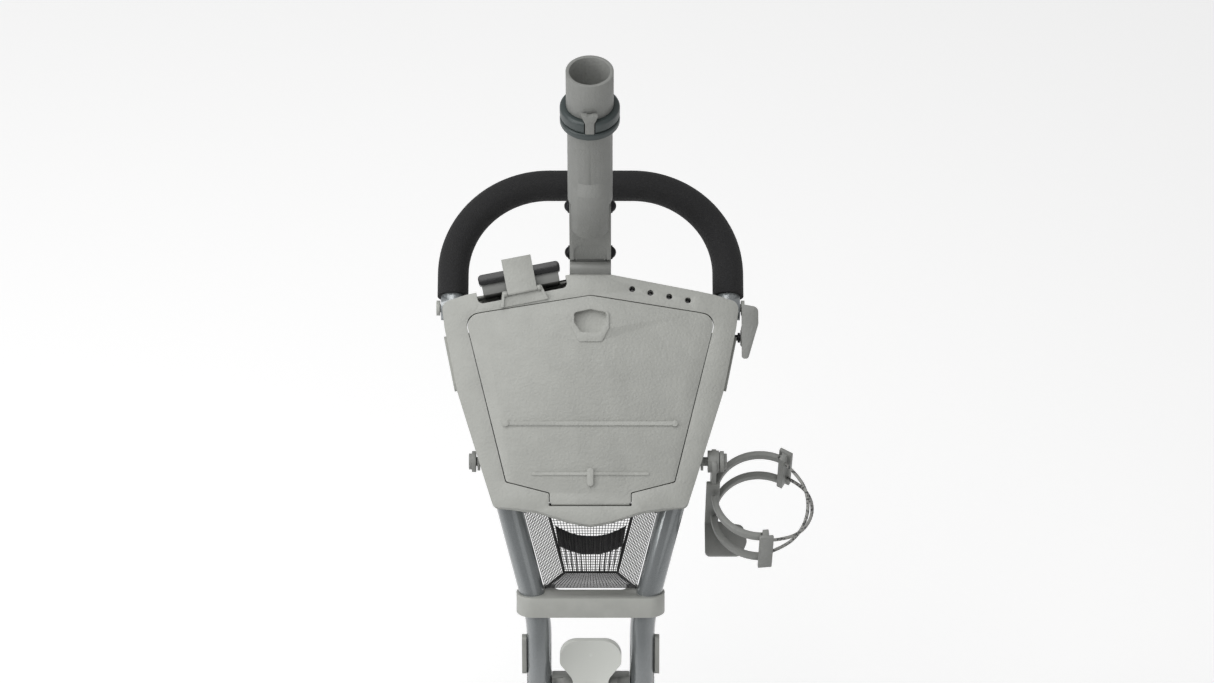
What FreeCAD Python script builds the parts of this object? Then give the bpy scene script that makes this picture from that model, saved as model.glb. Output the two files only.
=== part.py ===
import FreeCAD, Part
import math
import os
from FreeCAD import Placement, Rotation, Vector

# A three-wheel golf push cart, upright and ready for use.
# X is the cart's right as seen from its front wheel end, -Y is the front, +Z is up.
# The origin is on the ground, under the middle of the cart's bounding box.

os.makedirs("parts", exist_ok=True)

# ---- driving dimensions, millimetres and degrees ----
PEAK_Y = 337.5            # top middle of the console face
PEAK_Z = 1000.0
CONSOLE_TILT = 38.0       # console face above the horizontal
CONSOLE_DEPTH = 58.0
FACET_TILT = 12.0         # the console face falls away at each side
LID_GAP = 0.8             # half of the gap line round the lid
SHELL = 3.0               # moulded wall thickness

TUBE_R = 12.7             # frame tube, one inch outside diameter
TUBE_BORE = 10.9
STEM_TILT = 65.0          # upper frame tubes above the horizontal
STEM_TOP = Vector(0, PEAK_Y - 159, 819)
STEM_LENGTH = 225.0       # from the console to the folding hinge
STEM_WIDE = 79.5          # half distance between tubes at the console
STEM_NARROW = 52.0        # half distance between tubes at the hinge
STEM_BEND = 116.0         # where the tubes turn parallel
STEM_TUCK = 34.0          # length of tube hidden in the console
POCKET_REAR = -42.0       # back of the net pouch, behind the tubes
POCKET_TAPER = 19.0       # how much narrower its back is at each side

HANDLE_TILT = 26.0
HANDLE_HALF = 137.5
HANDLE_REACH = 131.0
HANDLE_BEND = 95.0
HANDLE_R = 12.0
GRIP_R = 15.5
GRIP_START = 12.0
HANDLE_P = 34.0           # handle pivot, down the face from the peak
HANDLE_W = -27.0          # and below the face

MAST_Y = PEAK_Y + 20      # umbrella mast, vertical
MAST_FOOT_Z = 1006.0
MAST_KNEE_Z = 1069.0
MAST_TUBE_Z = 1117.0
MAST_TOP_Z = 1244.0
MAST_R = 22.0
MAST_BORE_R = 19.75
COLLAR_Z = 1180.0
COLLAR_HEIGHT = 22.0
COLLAR_R = 29.0

FRONT_AXLE = Vector(0, -343.5, 120)
FRONT_WHEEL_R = 120.0
REAR_AXLE = Vector(330, PEAK_Y - 20, 146)
REAR_WHEEL_R = 146.0
YOKE_DROP = 85.0          # rear leg pivot, down the lower frame from the hinge
YOKE_BACK = 30.0          # and behind its tubes
LEG_X = 79.0
SHAFT_R = 10.0
RUN_FIT = 0.1             # radial clearance of a turning fit
SIDE_GAP = 0.5            # side clearance between turning knuckles

STUD_P = 188.0            # accessory studs on the console sides
STUD_W = -25.0
DRINK_TILT = 14.0
DRINK_X = 170.0
DRINK_R = 49.0
DRINK_BAND = 5.5

X_AXIS = Vector(1, 0, 0)
Z_AXIS = Vector(0, 0, 1)


# ---- frames of reference ----
def tilted(point, degrees):
    """A frame at a point, turned about X so that its own Y climbs to the rear."""
    return Placement(point, Rotation(X_AXIS, degrees))


CONSOLE = tilted(Vector(0, PEAK_Y, PEAK_Z), CONSOLE_TILT)
STEM = tilted(STEM_TOP, STEM_TILT)


def on_console(u, p, w):
    """Global point from across, down the face, and above the face."""
    return CONSOLE.multVec(Vector(u, -p, w))


HINGE = STEM.multVec(Vector(0, -STEM_LENGTH, 0))
LOWER_RUN = FRONT_AXLE - HINGE
LOWER_LENGTH = LOWER_RUN.Length
LOWER_TILT = math.degrees(math.atan2(-LOWER_RUN.z, -LOWER_RUN.y))
LOWER = tilted(HINGE, LOWER_TILT)
YOKE = LOWER.multVec(Vector(0, -YOKE_DROP, -YOKE_BACK))
HANDLE_PIVOT = on_console(0, HANDLE_P, HANDLE_W)
HANDLE = tilted(HANDLE_PIVOT, HANDLE_TILT)
STUD = on_console(0, STUD_P, STUD_W)
DRINK = tilted(STUD, DRINK_TILT)


# ---- helpers ----
def save(name, *shapes):
    """Write one node; several shapes become one group of separate solids."""
    shape = shapes[0] if len(shapes) == 1 else Part.makeCompound(list(shapes))
    shape.exportStep("parts/" + name + ".step")


def box(x0, x1, y0, y1, z0, z1):
    return Part.makeBox(x1 - x0, y1 - y0, z1 - z0, Vector(x0, y0, z0))


def rod(start, end, radius):
    run = end - start
    return Part.makeCylinder(radius, run.Length, start, run)


def pipe_length(start, end, outer, inner):
    return rod(start, end, outer).cut(rod(start, end, inner))


def rod_x(x0, x1, centre, radius):
    return rod(Vector(x0, centre.y, centre.z), Vector(x1, centre.y, centre.z), radius)


def ring_x(x0, x1, centre, outer, inner):
    return rod_x(x0, x1, centre, outer).cut(rod_x(x0, x1, centre, inner))


def rounded_edges(points, closed):
    """Lines through (point, radius) pairs, with each corner rounded by its radius."""
    count = len(points)
    ends = []
    for i, (here, radius) in enumerate(points):
        if radius == 0 or (not closed and i in (0, count - 1)):
            ends.append((here, here, None))
            continue
        before = (points[i - 1][0] - here).normalize()
        after = (points[(i + 1) % count][0] - here).normalize()
        half = before.getAngle(after) / 2
        reach = radius / math.tan(half)
        middle = (before + after).normalize() * (radius / math.sin(half) - radius)
        ends.append((here + before * reach, here + after * reach, here + middle))
    edges = []
    for i in range(count):
        first, last, top = ends[i]
        if top is not None:
            edges.append(Part.Arc(first, top, last).toShape())
        if i < count - 1 or closed:
            following = ends[(i + 1) % count][0]
            if (following - last).Length > 1e-6:
                edges.append(Part.LineSegment(last, following).toShape())
    return edges


def outline(points, z=0.0):
    """A closed flat face in a local XY plane from (x, y, radius) corners."""
    pairs = [(Vector(x, y, z), r) for x, y, r in points]
    return Part.Face(Part.Wire(rounded_edges(pairs, True)))


def prism(points, z0, z1):
    return outline(points, z0).extrude(Vector(0, 0, z1 - z0))


def side_prism(points, x0, x1):
    """A prism along X from (y, z, radius) corners."""
    pairs = [(Vector(x0, y, z), r) for y, z, r in points]
    face = Part.Face(Part.Wire(rounded_edges(pairs, True)))
    return face.extrude(Vector(x1 - x0, 0, 0))


def swept(points, radius):
    """A round bar along (point, bend radius) pairs."""
    edges = rounded_edges(points, False)
    path = Part.Wire(edges)
    run = points[1][0] - points[0][0]
    circle = Part.makeCircle(radius, points[0][0], run)
    return path.makePipeShell([Part.Wire(circle)], True, False)


def bent_tube(points, outer, inner):
    return swept(points, outer).cut(swept(points, inner))


def placed(shape, frame):
    copy = shape.copy()
    copy.Placement = frame.multiply(copy.Placement)
    return copy


def mirrored(shape):
    return shape.mirror(Vector(0, 0, 0), X_AXIS)


def fuse_all(first, *others):
    return first.multiFuse(list(others)).removeSplitter()


def shifted(shape, x=0.0, y=0.0, z=0.0):
    copy = shape.copy()
    copy.translate(Vector(x, y, z))
    return copy


def stadium(length, width, z0, z1):
    """A round-ended slab along X, centred."""
    half = length / 2
    r = width / 2
    return prism([(-half, -r, r * 0.999), (half, -r, r * 0.999),
                  (half, r, r * 0.999), (-half, r, r * 0.999)], z0, z1)


# ---- upper frame ----
def stem_points(side):
    spread = (STEM_WIDE - STEM_NARROW) / STEM_BEND
    top = STEM.multVec(Vector(side * (STEM_WIDE + STEM_TUCK * spread), STEM_TUCK, 0))
    bend = STEM.multVec(Vector(side * STEM_NARROW, -STEM_BEND, 0))
    foot = STEM.multVec(Vector(side * STEM_NARROW, -(STEM_LENGTH - 22), 0))
    return [(top, 0), (bend, 160), (foot, 0)]


def frame_tube(side):
    return bent_tube(stem_points(side), TUBE_R, TUBE_BORE)


def stem_bars(radius):
    return [swept(stem_points(side), radius) for side in (-1, 1)]


def crossbar_band():
    half = STEM_NARROW + 5.0
    r = 17.5
    slab = stadium(2 * (half + r), 2 * r, -10.5, 10.5)
    relief = prism([(-half + 21, 5, 6), (half - 21, 5, 6),
                    (half - 21, r + 1, 0), (-half + 21, r + 1, 0)], -11, 11)
    across = Placement(STEM.multVec(Vector(0, -97, 0)), Rotation(X_AXIS, STEM_TILT - 90))
    band = placed(slab.cut(relief), across)
    for bar in stem_bars(TUBE_R):
        band = band.cut(bar)
    return band


def strap_cleats():
    cleats = []
    for side in (-1, 1):
        plate = side_prism([(-176, -6, 5), (-134, -6, 5), (-134, 6, 5), (-176, 6, 5)], 0, 4.6)
        cleat = shifted(plate, x=STEM_NARROW + TUBE_R + 0.05)
        cleat = placed(cleat, STEM)
        cleats.append(cleat if side > 0 else mirrored(cleat))
    return cleats


def net_pocket():
    """A pouch that hangs behind the stem tubes, open at its front and top."""
    def pouch(inset, front, rear, foot):
        rings = []
        for z, taper in ((front, 0), (rear, POCKET_TAPER)):
            wide = STEM_WIDE - TUBE_R - 0.6 - inset - taper
            rings.append(outline([(-(wide - 19.9), -foot, 3), (wide - 19.9, -foot, 3),
                                  (wide, 0, 0), (-wide, 0, 0)], z).OuterWire)
        return Part.makeLoft(rings, True, True)
    shell = pouch(0, -2, POCKET_REAR, 84).cut(pouch(1.6, -1, POCKET_REAR + 1.6, 82.4))
    return placed(shell.cut(box(-70, 70, -1, 2, -60, 0)), STEM)


def net_elastic():
    """The gathered top edge of a small inner pocket on the pouch's back."""
    band = prism([(-31, -54, 2), (-14, -63, 20), (14, -63, 20), (31, -54, 2),
                  (35, -32, 2), (13, -42, 20), (-13, -42, 20), (-35, -32, 2)],
                 POCKET_REAR + 1.8, POCKET_REAR + 4.6)
    return placed(band, STEM)


LATCH_AXIS = Vector(0, -190, 14)


def upper_hinge_bracket():
    """Knuckles of the folding hinge, with a web up between the tubes."""
    gap = STEM_NARROW - TUBE_R - 0.1
    knuckles = [rod_x(s * 14, s * 36, Vector(0, -STEM_LENGTH, 0), 16) for s in (-1, 1)]
    web = box(-gap, gap, -STEM_LENGTH + 20, -178, -9, 7)
    legs = [box(min(s * 14, s * 36), max(s * 14, s * 36), -STEM_LENGTH, -STEM_LENGTH + 24, -9, 9)
            for s in (-1, 1)]
    ears = [box(min(s * 18, s * 27), max(s * 18, s * 27), -197, -179, 5, 20) for s in (-1, 1)]
    body = fuse_all(web, *knuckles, *legs, *ears)
    body = body.cut(rod_x(-40, 40, Vector(0, -STEM_LENGTH, 0), 6 + RUN_FIT))
    body = body.cut(rod_x(-40, 40, LATCH_AXIS, 3.02))
    return placed(body, STEM)


# ---- console: bezel, tray and lid, in the face's own frame ----
CONSOLE_HALF = [(0, 0, 30), (124, 24, 6), (148, 31, 9), (145, 56, 6), (132, 120, 8), (121, 155, 20),
                (104, 209, 20), (96, 234, 7), (53, 239, 10), (21, 249, 10), (0, 253, 20)]
LID_HALF = [(0, 25, 20), (124.6, 45, 12), (83, 210, 3), (40, 221, 2), (40, 233.5, 1)]


def mirrored_outline(half, inset=0.0):
    """Full outline from its right half; an inset moves the sides straight in."""
    middle_p = (half[0][1] + half[-1][1]) / 2
    right = []
    for u, p, r in half:
        step = inset if p > middle_p else -inset
        right.append((max(u - inset, 0), -(p - step), r))
    top_on_axis = half[0][0] == 0
    foot_on_axis = half[-1][0] == 0
    first = 1 if top_on_axis else 0
    last = len(right) - 1 if foot_on_axis else len(right)
    left = [(-u, y, r) for u, y, r in reversed(right[first:last])]
    return right + left


def facet_cutters(drop=0.0):
    """Two slabs above the falling side facets of the face."""
    cutters = []
    for side in (-1, 1):
        slab = box(0, 120, -300, 60, 0, 80) if side > 0 else box(-120, 0, -300, 60, 0, 80)
        slab.Placement = Placement(Vector(), Rotation(Vector(0, 1, 0), side * FACET_TILT))
        turn = Placement(Vector(side * 109, -24, -drop), Rotation(Z_AXIS, -side * 10.2))
        cutters.append(placed(slab, turn))
    return cutters


def console_shape(points, z0, z1):
    return prism(points, z0, z1).cut(Part.makeCompound(facet_cutters()))


def corner_wells(radius, back):
    """Room round each handle end, and for its swing down."""
    wells = []
    for side in (-1, 1):
        x = side * HANDLE_HALF
        turn = HANDLE_TILT - CONSOLE_TILT
        aim = Vector(0, math.cos(math.radians(turn)), math.sin(math.radians(turn)))
        start = Vector(x, -HANDLE_P, HANDLE_W) - aim * back
        wells.append(rod(start, start + aim * (back + 60), radius))
    return wells


def notch(depth, grow=0.0):
    """The cut in the rim for the scorecard holder, in the console frame."""
    cut = prism([(-45 - grow, -12 - grow, 5), (45 + grow, -12 - grow, 5),
                 (45 + grow, 30, 0), (-45 - grow, 30, 0)], depth, 40)
    return placed(cut, RIM)


LID_PIN_P = 231.0
LID_PIN = on_console(0, LID_PIN_P, -2.5)
RIM_SLOPE = math.degrees(math.atan2(24, 124))
RIM = Placement(Vector(-69, -13.4, 0), Rotation(Z_AXIS, RIM_SLOPE))
TEE_PLACES = [(41.5, 18.5), (59.6, 22.3), (78.3, 26.0), (96.8, 29.8)]
BEZEL_FOOT = -18.0


def console_bezel():
    ring = console_shape(mirrored_outline(CONSOLE_HALF), BEZEL_FOOT, 0)
    inner = prism(mirrored_outline(LID_HALF, -LID_GAP), BEZEL_FOOT - 1, 1)
    ring = ring.cut(inner)
    ring = ring.cut(Part.makeCompound(corner_wells(HANDLE_R + 1.2, 14)))
    corner_room = [box(min(s * 121, s * 155), max(s * 121, s * 155), -58, 0, -40, -14.2)
                   for s in (-1, 1)]
    ring = ring.cut(Part.makeCompound(corner_room))
    ring = ring.cut(notch(-30))
    ring = ring.cut(rod_x(-46, 46, Vector(0, -LID_PIN_P, -2.5), 1.22))
    return placed(ring, CONSOLE).cut(Part.makeCompound(tee_bores()))


def console_tray():
    """A deep tray under the bezel, open upwards beneath the lid."""
    outer_line = mirrored_outline(CONSOLE_HALF)
    foot_line = mirrored_outline(CONSOLE_HALF, 17)
    knee = -34.0

    def bowl(inset, top, foot):
        upper = prism(mirrored_outline(CONSOLE_HALF, inset), knee, top)
        rings = [outline(mirrored_outline(CONSOLE_HALF, inset), knee).OuterWire,
                 outline(mirrored_outline(CONSOLE_HALF, 17 + inset), foot).OuterWire]
        return upper.fuse(Part.makeLoft(rings, True, True))
    tray = bowl(0, BEZEL_FOOT, -CONSOLE_DEPTH).cut(bowl(SHELL, BEZEL_FOOT + 1, -CONSOLE_DEPTH + SHELL))
    wells = [box(min(s * 118, s * 160), max(s * 118, s * 160), -60, 10, -70, 0) for s in (-1, 1)]
    walls = [box(min(s * 115, s * 118), max(s * 115, s * 118), -60, -22, -50, BEZEL_FOOT)
             for s in (-1, 1)]
    floors = [box(min(s * 115, s * 134), max(s * 115, s * 134), -63, -60, -48, BEZEL_FOOT)
              for s in (-1, 1)]
    sockets = [swept(stem_points(s), TUBE_R + 3) for s in (-1, 1)]
    inside = placed(bowl(1, BEZEL_FOOT, -CONSOLE_DEPTH), CONSOLE)
    tray = tray.cut(Part.makeCompound(wells))
    tray = tray.multiFuse(walls + floors)
    tray = placed(tray, CONSOLE)
    tray = tray.multiFuse([s.common(inside) for s in sockets])
    tray = tray.cut(Part.makeCompound(stem_bars(TUBE_R)))
    tray = tray.cut(placed(notch(-30, 0.0), CONSOLE))
    return tray


def lid_line(inset):
    return mirrored_outline(LID_HALF, inset)


def lid_panel():
    outer = prism(lid_line(0), -9, 0).cut(Part.makeCompound(facet_cutters()))
    inner = prism(lid_line(3), -10, -3).cut(Part.makeCompound(facet_cutters(SHELL)))
    tab = box(-38.5, 38.5, -231, -205, -5, -2.9)
    barrel = rod_x(-38.5, 38.5, Vector(0, -LID_PIN_P, -2.5), 2.5)
    lid = outer.cut(inner).cut(box(-60, 60, -240, -224, -12, -5))
    lid = lid.cut(box(-60, 60, -240, -LID_PIN_P, -12, 1)).fuse(tab).fuse(barrel)
    lid = lid.cut(rod_x(-60, 60, Vector(0, -LID_PIN_P, -2.5), 1.2 + RUN_FIT))
    lid = lid.fuse(finger_shield(2.5, 2.5, -7.6, -1)).fuse(finger_shield(2.5, 9, -1, 1.5))
    lid = lid.cut(finger_shield(0, 0, -6, 3))
    return placed(lid, CONSOLE)


def finger_shield(side, foot, z0, z1):
    """The shield outline of the lid's finger recess, grown at its sides and foot."""
    half = [(0, 38.5, 3), (16 + side, 42, 3), (16 + side, 52 + foot * 0.6, 4), (9 + side, 62 + foot, 4)]
    return prism(mirrored_outline(half), z0, z1)


def lid_rib():
    """The raised cross rib, its end domes, the low ledge and the centre pin."""
    rib = placed(stadium(167, 4, 0.02, 1.8), Placement(Vector(0, -152.7, 0), Rotation()))
    domes = [Part.makeCylinder(3, 2.6, Vector(s * 83.5, -152.7, 0.02)) for s in (-1, 1)]
    ledge = placed(stadium(116, 3, 0.02, 1.2), Placement(Vector(0, -202.6, 0), Rotation()))
    pin = placed(stadium(18, 6, 0.02, 4), Placement(Vector(0, -206, 0), Rotation(Z_AXIS, 90)))
    return placed(rib.multiFuse(domes + [ledge, pin]), CONSOLE)




TEE_FRAME = Placement(Vector(69.05, -24.15, 0), Rotation(Z_AXIS, -11.6))


def tee_blank():
    return placed(placed(box(-34, 34, -7, 7, -46, BEZEL_FOOT), TEE_FRAME), CONSOLE)


def tee_bores():
    """Open right through, so that rain and grit fall out."""
    return [rod(on_console(u, p, -70), on_console(u, p, 5), 3.0) for u, p in TEE_PLACES]


def tee_block():
    return tee_blank().cut(Part.makeCompound(tee_bores()))


def side_frame(side, p0, p1, u0, u1, w):
    """A frame on the console's side wall: X along the wall, Z straight out of it."""
    start = Vector(side * u0, -p0, w)
    end = Vector(side * u1, -p1, w)
    along = (end - start).normalize()
    out = Vector(-side * along.y * side, side * along.x * side, 0)
    if out.x * side < 0:
        out = out * -1
    third = out.cross(along)
    turn = Rotation(along, third, out, "XZY")
    return Placement((start + end) * 0.5, turn)


def slot_liners():
    """Dark liners sunk in the slot rims of each side wall."""
    return [placed(stadium(49.6, 8.6, -0.4, 0.8), slot_frame(side)) for side in (-1, 1)]


def slot_frame(side):
    return CONSOLE.multiply(side_frame(side, 60, 120, 144.2, 132.0, -26))


def slot_rims():
    """Raised round-ended rims on each side wall."""
    return [placed(stadium(56, 15, -0.6, 2.6).cut(stadium(50, 9, -2, 4)), slot_frame(side))
            for side in (-1, 1)]


def accessory_studs():
    """Round-headed studs, one on each console side, for clip-on holders."""
    studs = []
    for side in (-1, 1):
        root = 100.0
        reach = 113.5 if side < 0 else 128.5
        stem = rod_x(side * root, side * reach, STUD, 4.5)
        flange = rod_x(side * 109.6, side * 112, STUD, 9)
        head = rod_x(side * reach, side * (reach + 4), STUD, 10.5)
        dome = rod_x(side * (reach + 4), side * (reach + 7), STUD, 8)
        studs.append(fuse_all(stem, flange, head, dome))
    return studs


# ---- handle ----
def handle_points(start):
    s = HANDLE_HALF
    return [(HANDLE.multVec(Vector(-s, start, 0)), 0),
            (HANDLE.multVec(Vector(-s, HANDLE_REACH, 0)), HANDLE_BEND),
            (HANDLE.multVec(Vector(s, HANDLE_REACH, 0)), HANDLE_BEND),
            (HANDLE.multVec(Vector(s, start, 0)), 0)]


def handle_tube():
    arch = bent_tube(handle_points(0), HANDLE_R, HANDLE_R - 2)
    for side in (-1, 1):
        x0, x1 = sorted((side * (HANDLE_HALF - 11.5), side * (HANDLE_HALF + 11.5)))
        knuckle = rod_x(x0, x1, HANDLE_PIVOT, HANDLE_R + 0.5)
        arch = arch.fuse(knuckle).cut(rod_x(x0 - 2, x1 + 2, HANDLE_PIVOT, 4 + RUN_FIT))
    return arch


def grips():
    """Foam sleeves over the arch, meeting behind the mast."""
    sleeve = swept(handle_points(GRIP_START), GRIP_R).cut(swept(handle_points(GRIP_START),
                                                              HANDLE_R + 0.02))
    left = sleeve.cut(box(-1, 400, -900, 900, 0, 2000))
    right = sleeve.cut(box(-400, 1, -900, 900, 0, 2000))
    return left, right


def handle_pivot_bolts():
    bolts = []
    for side in (-1, 1):
        end = side * (HANDLE_HALF + 12.7)
        shank = rod_x(side * 112, end, HANDLE_PIVOT, 4)
        head = rod_x(end, end + side * 3.5, HANDLE_PIVOT, 7.5)
        nut = rod_x(side * 108, side * 112, HANDLE_PIVOT, 6.5)
        bolts.append(fuse_all(shank, head, nut))
    return bolts


# ---- umbrella mast ----
FOOT_PIVOT = Vector(0, MAST_Y, MAST_FOOT_Z)
KNEE_PIVOT = Vector(0, MAST_Y, MAST_KNEE_Z)
CHEEK_X = 20.5
TONGUE_X = 14.0


def umbrella_foot():
    """A pedestal behind the console peak with a tongue for the lower mast joint."""
    m = MAST_Y
    top = MAST_FOOT_Z - 24
    base = side_prism([(m - 17, 940, 3), (m + 20, 940, 8), (m + 20, top, 8), (m - 19, top, 5)],
                      -CHEEK_X, CHEEK_X)
    tongue = side_prism([(m - 14, 965, 0), (m + 14, 965, 0), (m + 14, MAST_FOOT_Z - 1, 0),
                         (m - 14, MAST_FOOT_Z - 1, 0)], -TONGUE_X, TONGUE_X)
    knob = rod_x(-TONGUE_X, TONGUE_X, FOOT_PIVOT, 14)
    shelf = side_prism([(m - 60, 925, 4), (m + 12, 925, 6), (m + 12, 945, 4), (m - 60, 945, 4)],
                       -CHEEK_X, CHEEK_X)
    lip = side_prism([(m - 24, 985, 4), (m - 14.5, 985, 1), (m - 14.5, MAST_FOOT_Z + 3, 3),
                      (m - 24, MAST_FOOT_Z + 3, 4)], -CHEEK_X, CHEEK_X)
    apron = box(-CHEEK_X, CHEEK_X, m - 22, m - 10, 960, 989)
    foot = fuse_all(base, tongue, knob, shelf, lip, apron)
    foot = foot.cut(rod_x(-30, 30, FOOT_PIVOT, 4 + RUN_FIT))
    solid_console = placed(console_shape(mirrored_outline(CONSOLE_HALF, -0.3),
                                         -CONSOLE_DEPTH + 20, 2), CONSOLE)
    return foot.cut(solid_console).cut(console_keepout())


def console_keepout():
    return placed(prism(mirrored_outline(CONSOLE_HALF, -0.3), -CONSOLE_DEPTH - 1, 1), CONSOLE)


def umbrella_arm():
    """The lower mast link: cheeks at both ends, a hollow window at the front."""
    m = MAST_Y
    z0 = MAST_FOOT_Z
    z1 = MAST_KNEE_Z
    block = side_prism([(m - 13, z0 - 13, 12.9), (m + 13, z0 - 13, 12.9), (m + 18, z0 + 20, 6),
                        (m + 18, z1 + 15, 14), (m - 19, z1 + 15, 14), (m - 19, z0 + 7, 1.5),
                        (m - 13, z0 + 7, 1)], -CHEEK_X, CHEEK_X)
    slot = TONGUE_X + SIDE_GAP
    low_slot = box(-slot, slot, m - 15, m + 40, z0 - 30, z0 + 17)
    high_slot = box(-slot, slot, m - 15, m + 40, z1 - 19, z1 + 40)
    front_cut = box(-slot, slot, m - 40, m, z1 + 2, z1 + 40)
    window = prism([(-16.5, z0, 0), (16.5, z0, 0), (16.5, z0 + 28, 9), (-16.5, z0 + 28, 9)], 0, 6)
    window = placed(window, Placement(Vector(0, m - 16.8, 0), Rotation(X_AXIS, 90)))
    arm = block.cut(low_slot).cut(high_slot).cut(window).cut(front_cut)
    for pivot in (FOOT_PIVOT, KNEE_PIVOT):
        arm = arm.cut(rod_x(-40, 40, pivot, 4.02))
    return arm


def pivot_bolt(pivot):
    """Shank with a washer and a domed head at each side."""
    shank = rod_x(-CHEEK_X - 0.02, CHEEK_X + 0.02, pivot, 4)
    parts = [rod_x(min(s * 20.52, s * 22), max(s * 20.52, s * 22), pivot, 7) for s in (-1, 1)]
    for side in (-1, 1):
        ball = Part.makeSphere(6.6, Vector(side * 19.0, pivot.y, pivot.z))
        keep = box(22, 28, -900, 900, 0, 2000) if side > 0 else box(-28, -22, -900, 900, 0, 2000)
        parts.append(ball.common(keep))
    return fuse_all(shank, *parts)


def mast_section(forward):
    """The lower sleeve's outline seen from above, drawn forward from a circle."""
    r = MAST_R - 0.02
    front = MAST_Y - MAST_R - forward
    rear = MAST_Y + MAST_R
    return [(-MAST_R, front, r), (MAST_R, front, r), (MAST_R, rear, r), (-MAST_R, rear, r)]


def umbrella_tube():
    """The open sleeve that takes an umbrella shaft, with its lower tongue."""
    top = MAST_TOP_Z
    lower = Part.makeCylinder(MAST_R, COLLAR_Z + COLLAR_HEIGHT - MAST_TUBE_Z,
                              Vector(0, MAST_Y, MAST_TUBE_Z))
    upper = Part.makeCylinder(MAST_R + 1, top - COLLAR_Z - COLLAR_HEIGHT - 0.5,
                              Vector(0, MAST_Y, COLLAR_Z + COLLAR_HEIGHT + 0.5))
    link = Part.makeCylinder(MAST_R, 0.5, Vector(0, MAST_Y, COLLAR_Z + COLLAR_HEIGHT))
    m = MAST_Y
    ledge_z = MAST_TUBE_Z - 10
    arm_top = MAST_KNEE_Z + 20
    sleeve = prism(mast_section(8), arm_top, ledge_z)
    ledge = Part.makeLoft([outline(mast_section(8), ledge_z).OuterWire,
                           outline(mast_section(0), MAST_TUBE_Z).OuterWire], True, True)
    skirt_end = prism([(-30, MAST_KNEE_Z - 2, 2), (-15, MAST_KNEE_Z - 16, 13),
                       (15, MAST_KNEE_Z - 16, 13), (30, MAST_KNEE_Z - 2, 2),
                       (30, arm_top, 0), (-30, arm_top, 0)], 0, 60)
    skirt_end = placed(skirt_end, Placement(Vector(0, m - 19.6, 0), Rotation(X_AXIS, 90)))
    skirt = prism(mast_section(8), MAST_KNEE_Z - 16, arm_top).common(skirt_end)
    tongue = box(-TONGUE_X, TONGUE_X, m - 13, m + 13, MAST_KNEE_Z, MAST_KNEE_Z + 22)
    knob = rod_x(-TONGUE_X, TONGUE_X, KNEE_PIVOT, 13)
    body = fuse_all(lower, upper, link, sleeve, ledge, skirt, tongue, knob)
    bore = Part.makeCylinder(MAST_BORE_R, top - MAST_TUBE_Z, Vector(0, m, MAST_TUBE_Z))
    return body.cut(bore).cut(rod_x(-30, 30, KNEE_PIVOT, 4 + RUN_FIT))


def clamp_collar():
    """Two-layer clamp ring: a full band below, a split band above."""
    at = Vector(0, MAST_Y, COLLAR_Z)
    bore = MAST_R + RUN_FIT
    rim = 2 * math.pi * COLLAR_R
    band = Part.makeCylinder(COLLAR_R, 8, at).cut(Part.makeCylinder(bore, 60, at))
    band = band.makeFillet(2.4, [e for e in band.Edges if abs(e.Length - rim) < 1])
    waist = Part.makeCylinder(COLLAR_R - 2.5, 12, at).cut(Part.makeCylinder(bore, 60, at))
    split_at = at + Vector(0, 0, 9.2)
    split = Part.makeCylinder(COLLAR_R, COLLAR_HEIGHT - 9.2, split_at)
    split = split.cut(Part.makeCylinder(bore, 60, split_at))
    split = split.makeFillet(3.2, [e for e in split.Edges if abs(e.Length - rim) < 1])
    gap = box(-5.4, 5.4, MAST_Y - 40, MAST_Y - 10, COLLAR_Z + 8.6, COLLAR_Z + COLLAR_HEIGHT)
    return fuse_all(band, waist, split).cut(gap)


def clamp_tongue():
    """The Y-shaped release tongue in the collar's front gap, flared above it."""
    flat = prism([(-4.4, 8.7, 1), (4.4, 8.7, 1), (4.4, 22, 4), (8.5, 32, 1), (-8.5, 32, 1),
                  (-4.4, 22, 4)], 0, 4.2)
    notch_cut = placed(Part.makeCylinder(5, 10), Placement(Vector(0, 36, -2), Rotation()))
    lean = Placement(Vector(0, MAST_Y - COLLAR_R + 4.7, COLLAR_Z), Rotation(X_AXIS, 90))
    return placed(flat.cut(notch_cut), lean)


# ---- scorecard holder, in a frame along the sloping rim ----
def scorecard_tray():
    bar = prism([(-41, 5.7, 3), (41, 5.7, 3), (41, 15.5, 4), (-41, 15.5, 4)], -13, 6)
    return placed(placed(bar, RIM), CONSOLE)


def scorecard_backing():
    pad = prism([(-38.5, -4.5, 2), (38.5, -4.5, 2), (38.5, 5.6, 1), (-38.5, 5.6, 1)], -29.9, 2)
    return placed(placed(pad, RIM), CONSOLE)


CLIP_HINGE = CONSOLE.multVec(RIM.multVec(Vector(0, -7.5, 4.6)))


def clip_base():
    """A low wedge on the rim with side ribs and two hinge ears."""
    wedge = prism([(-24, -20, 2), (24, -20, 2), (19.5, -4.8, 2), (-19.5, -4.8, 2)], 0.05, 2.2)
    bridge = prism([(-19, -12.2, 1), (19, -12.2, 1), (19, -4.8, 1), (-19, -4.8, 1)], -29.9, 2.0)
    bridge = bridge.cut(prism([(-60, -40, 0), (60, -40, 0), (60, -11.9, 0), (-60, -11.9, 0)],
                              -31, 0.05))
    ribs = [prism([(s * 24, -20, 0.5), (s * 21, -20, 0.5), (s * 16.8, -4.8, 0.5),
                   (s * 19.6, -4.8, 0.5)][::s], 1, 4) for s in (-1, 1)]
    ears = [placed(rod_x(min(s * 15.3, s * 18.5), max(s * 15.3, s * 18.5), Vector(), 2.8),
                   Placement(Vector(0, -7.5, 4.6), Rotation())) for s in (-1, 1)]
    pin = rod_x(-15.5, 15.5, Vector(0, -7.5, 4.6), 1.2)
    base = fuse_all(wedge, bridge, *ribs, *ears, pin)
    return placed(placed(base, RIM), CONSOLE)


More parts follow.
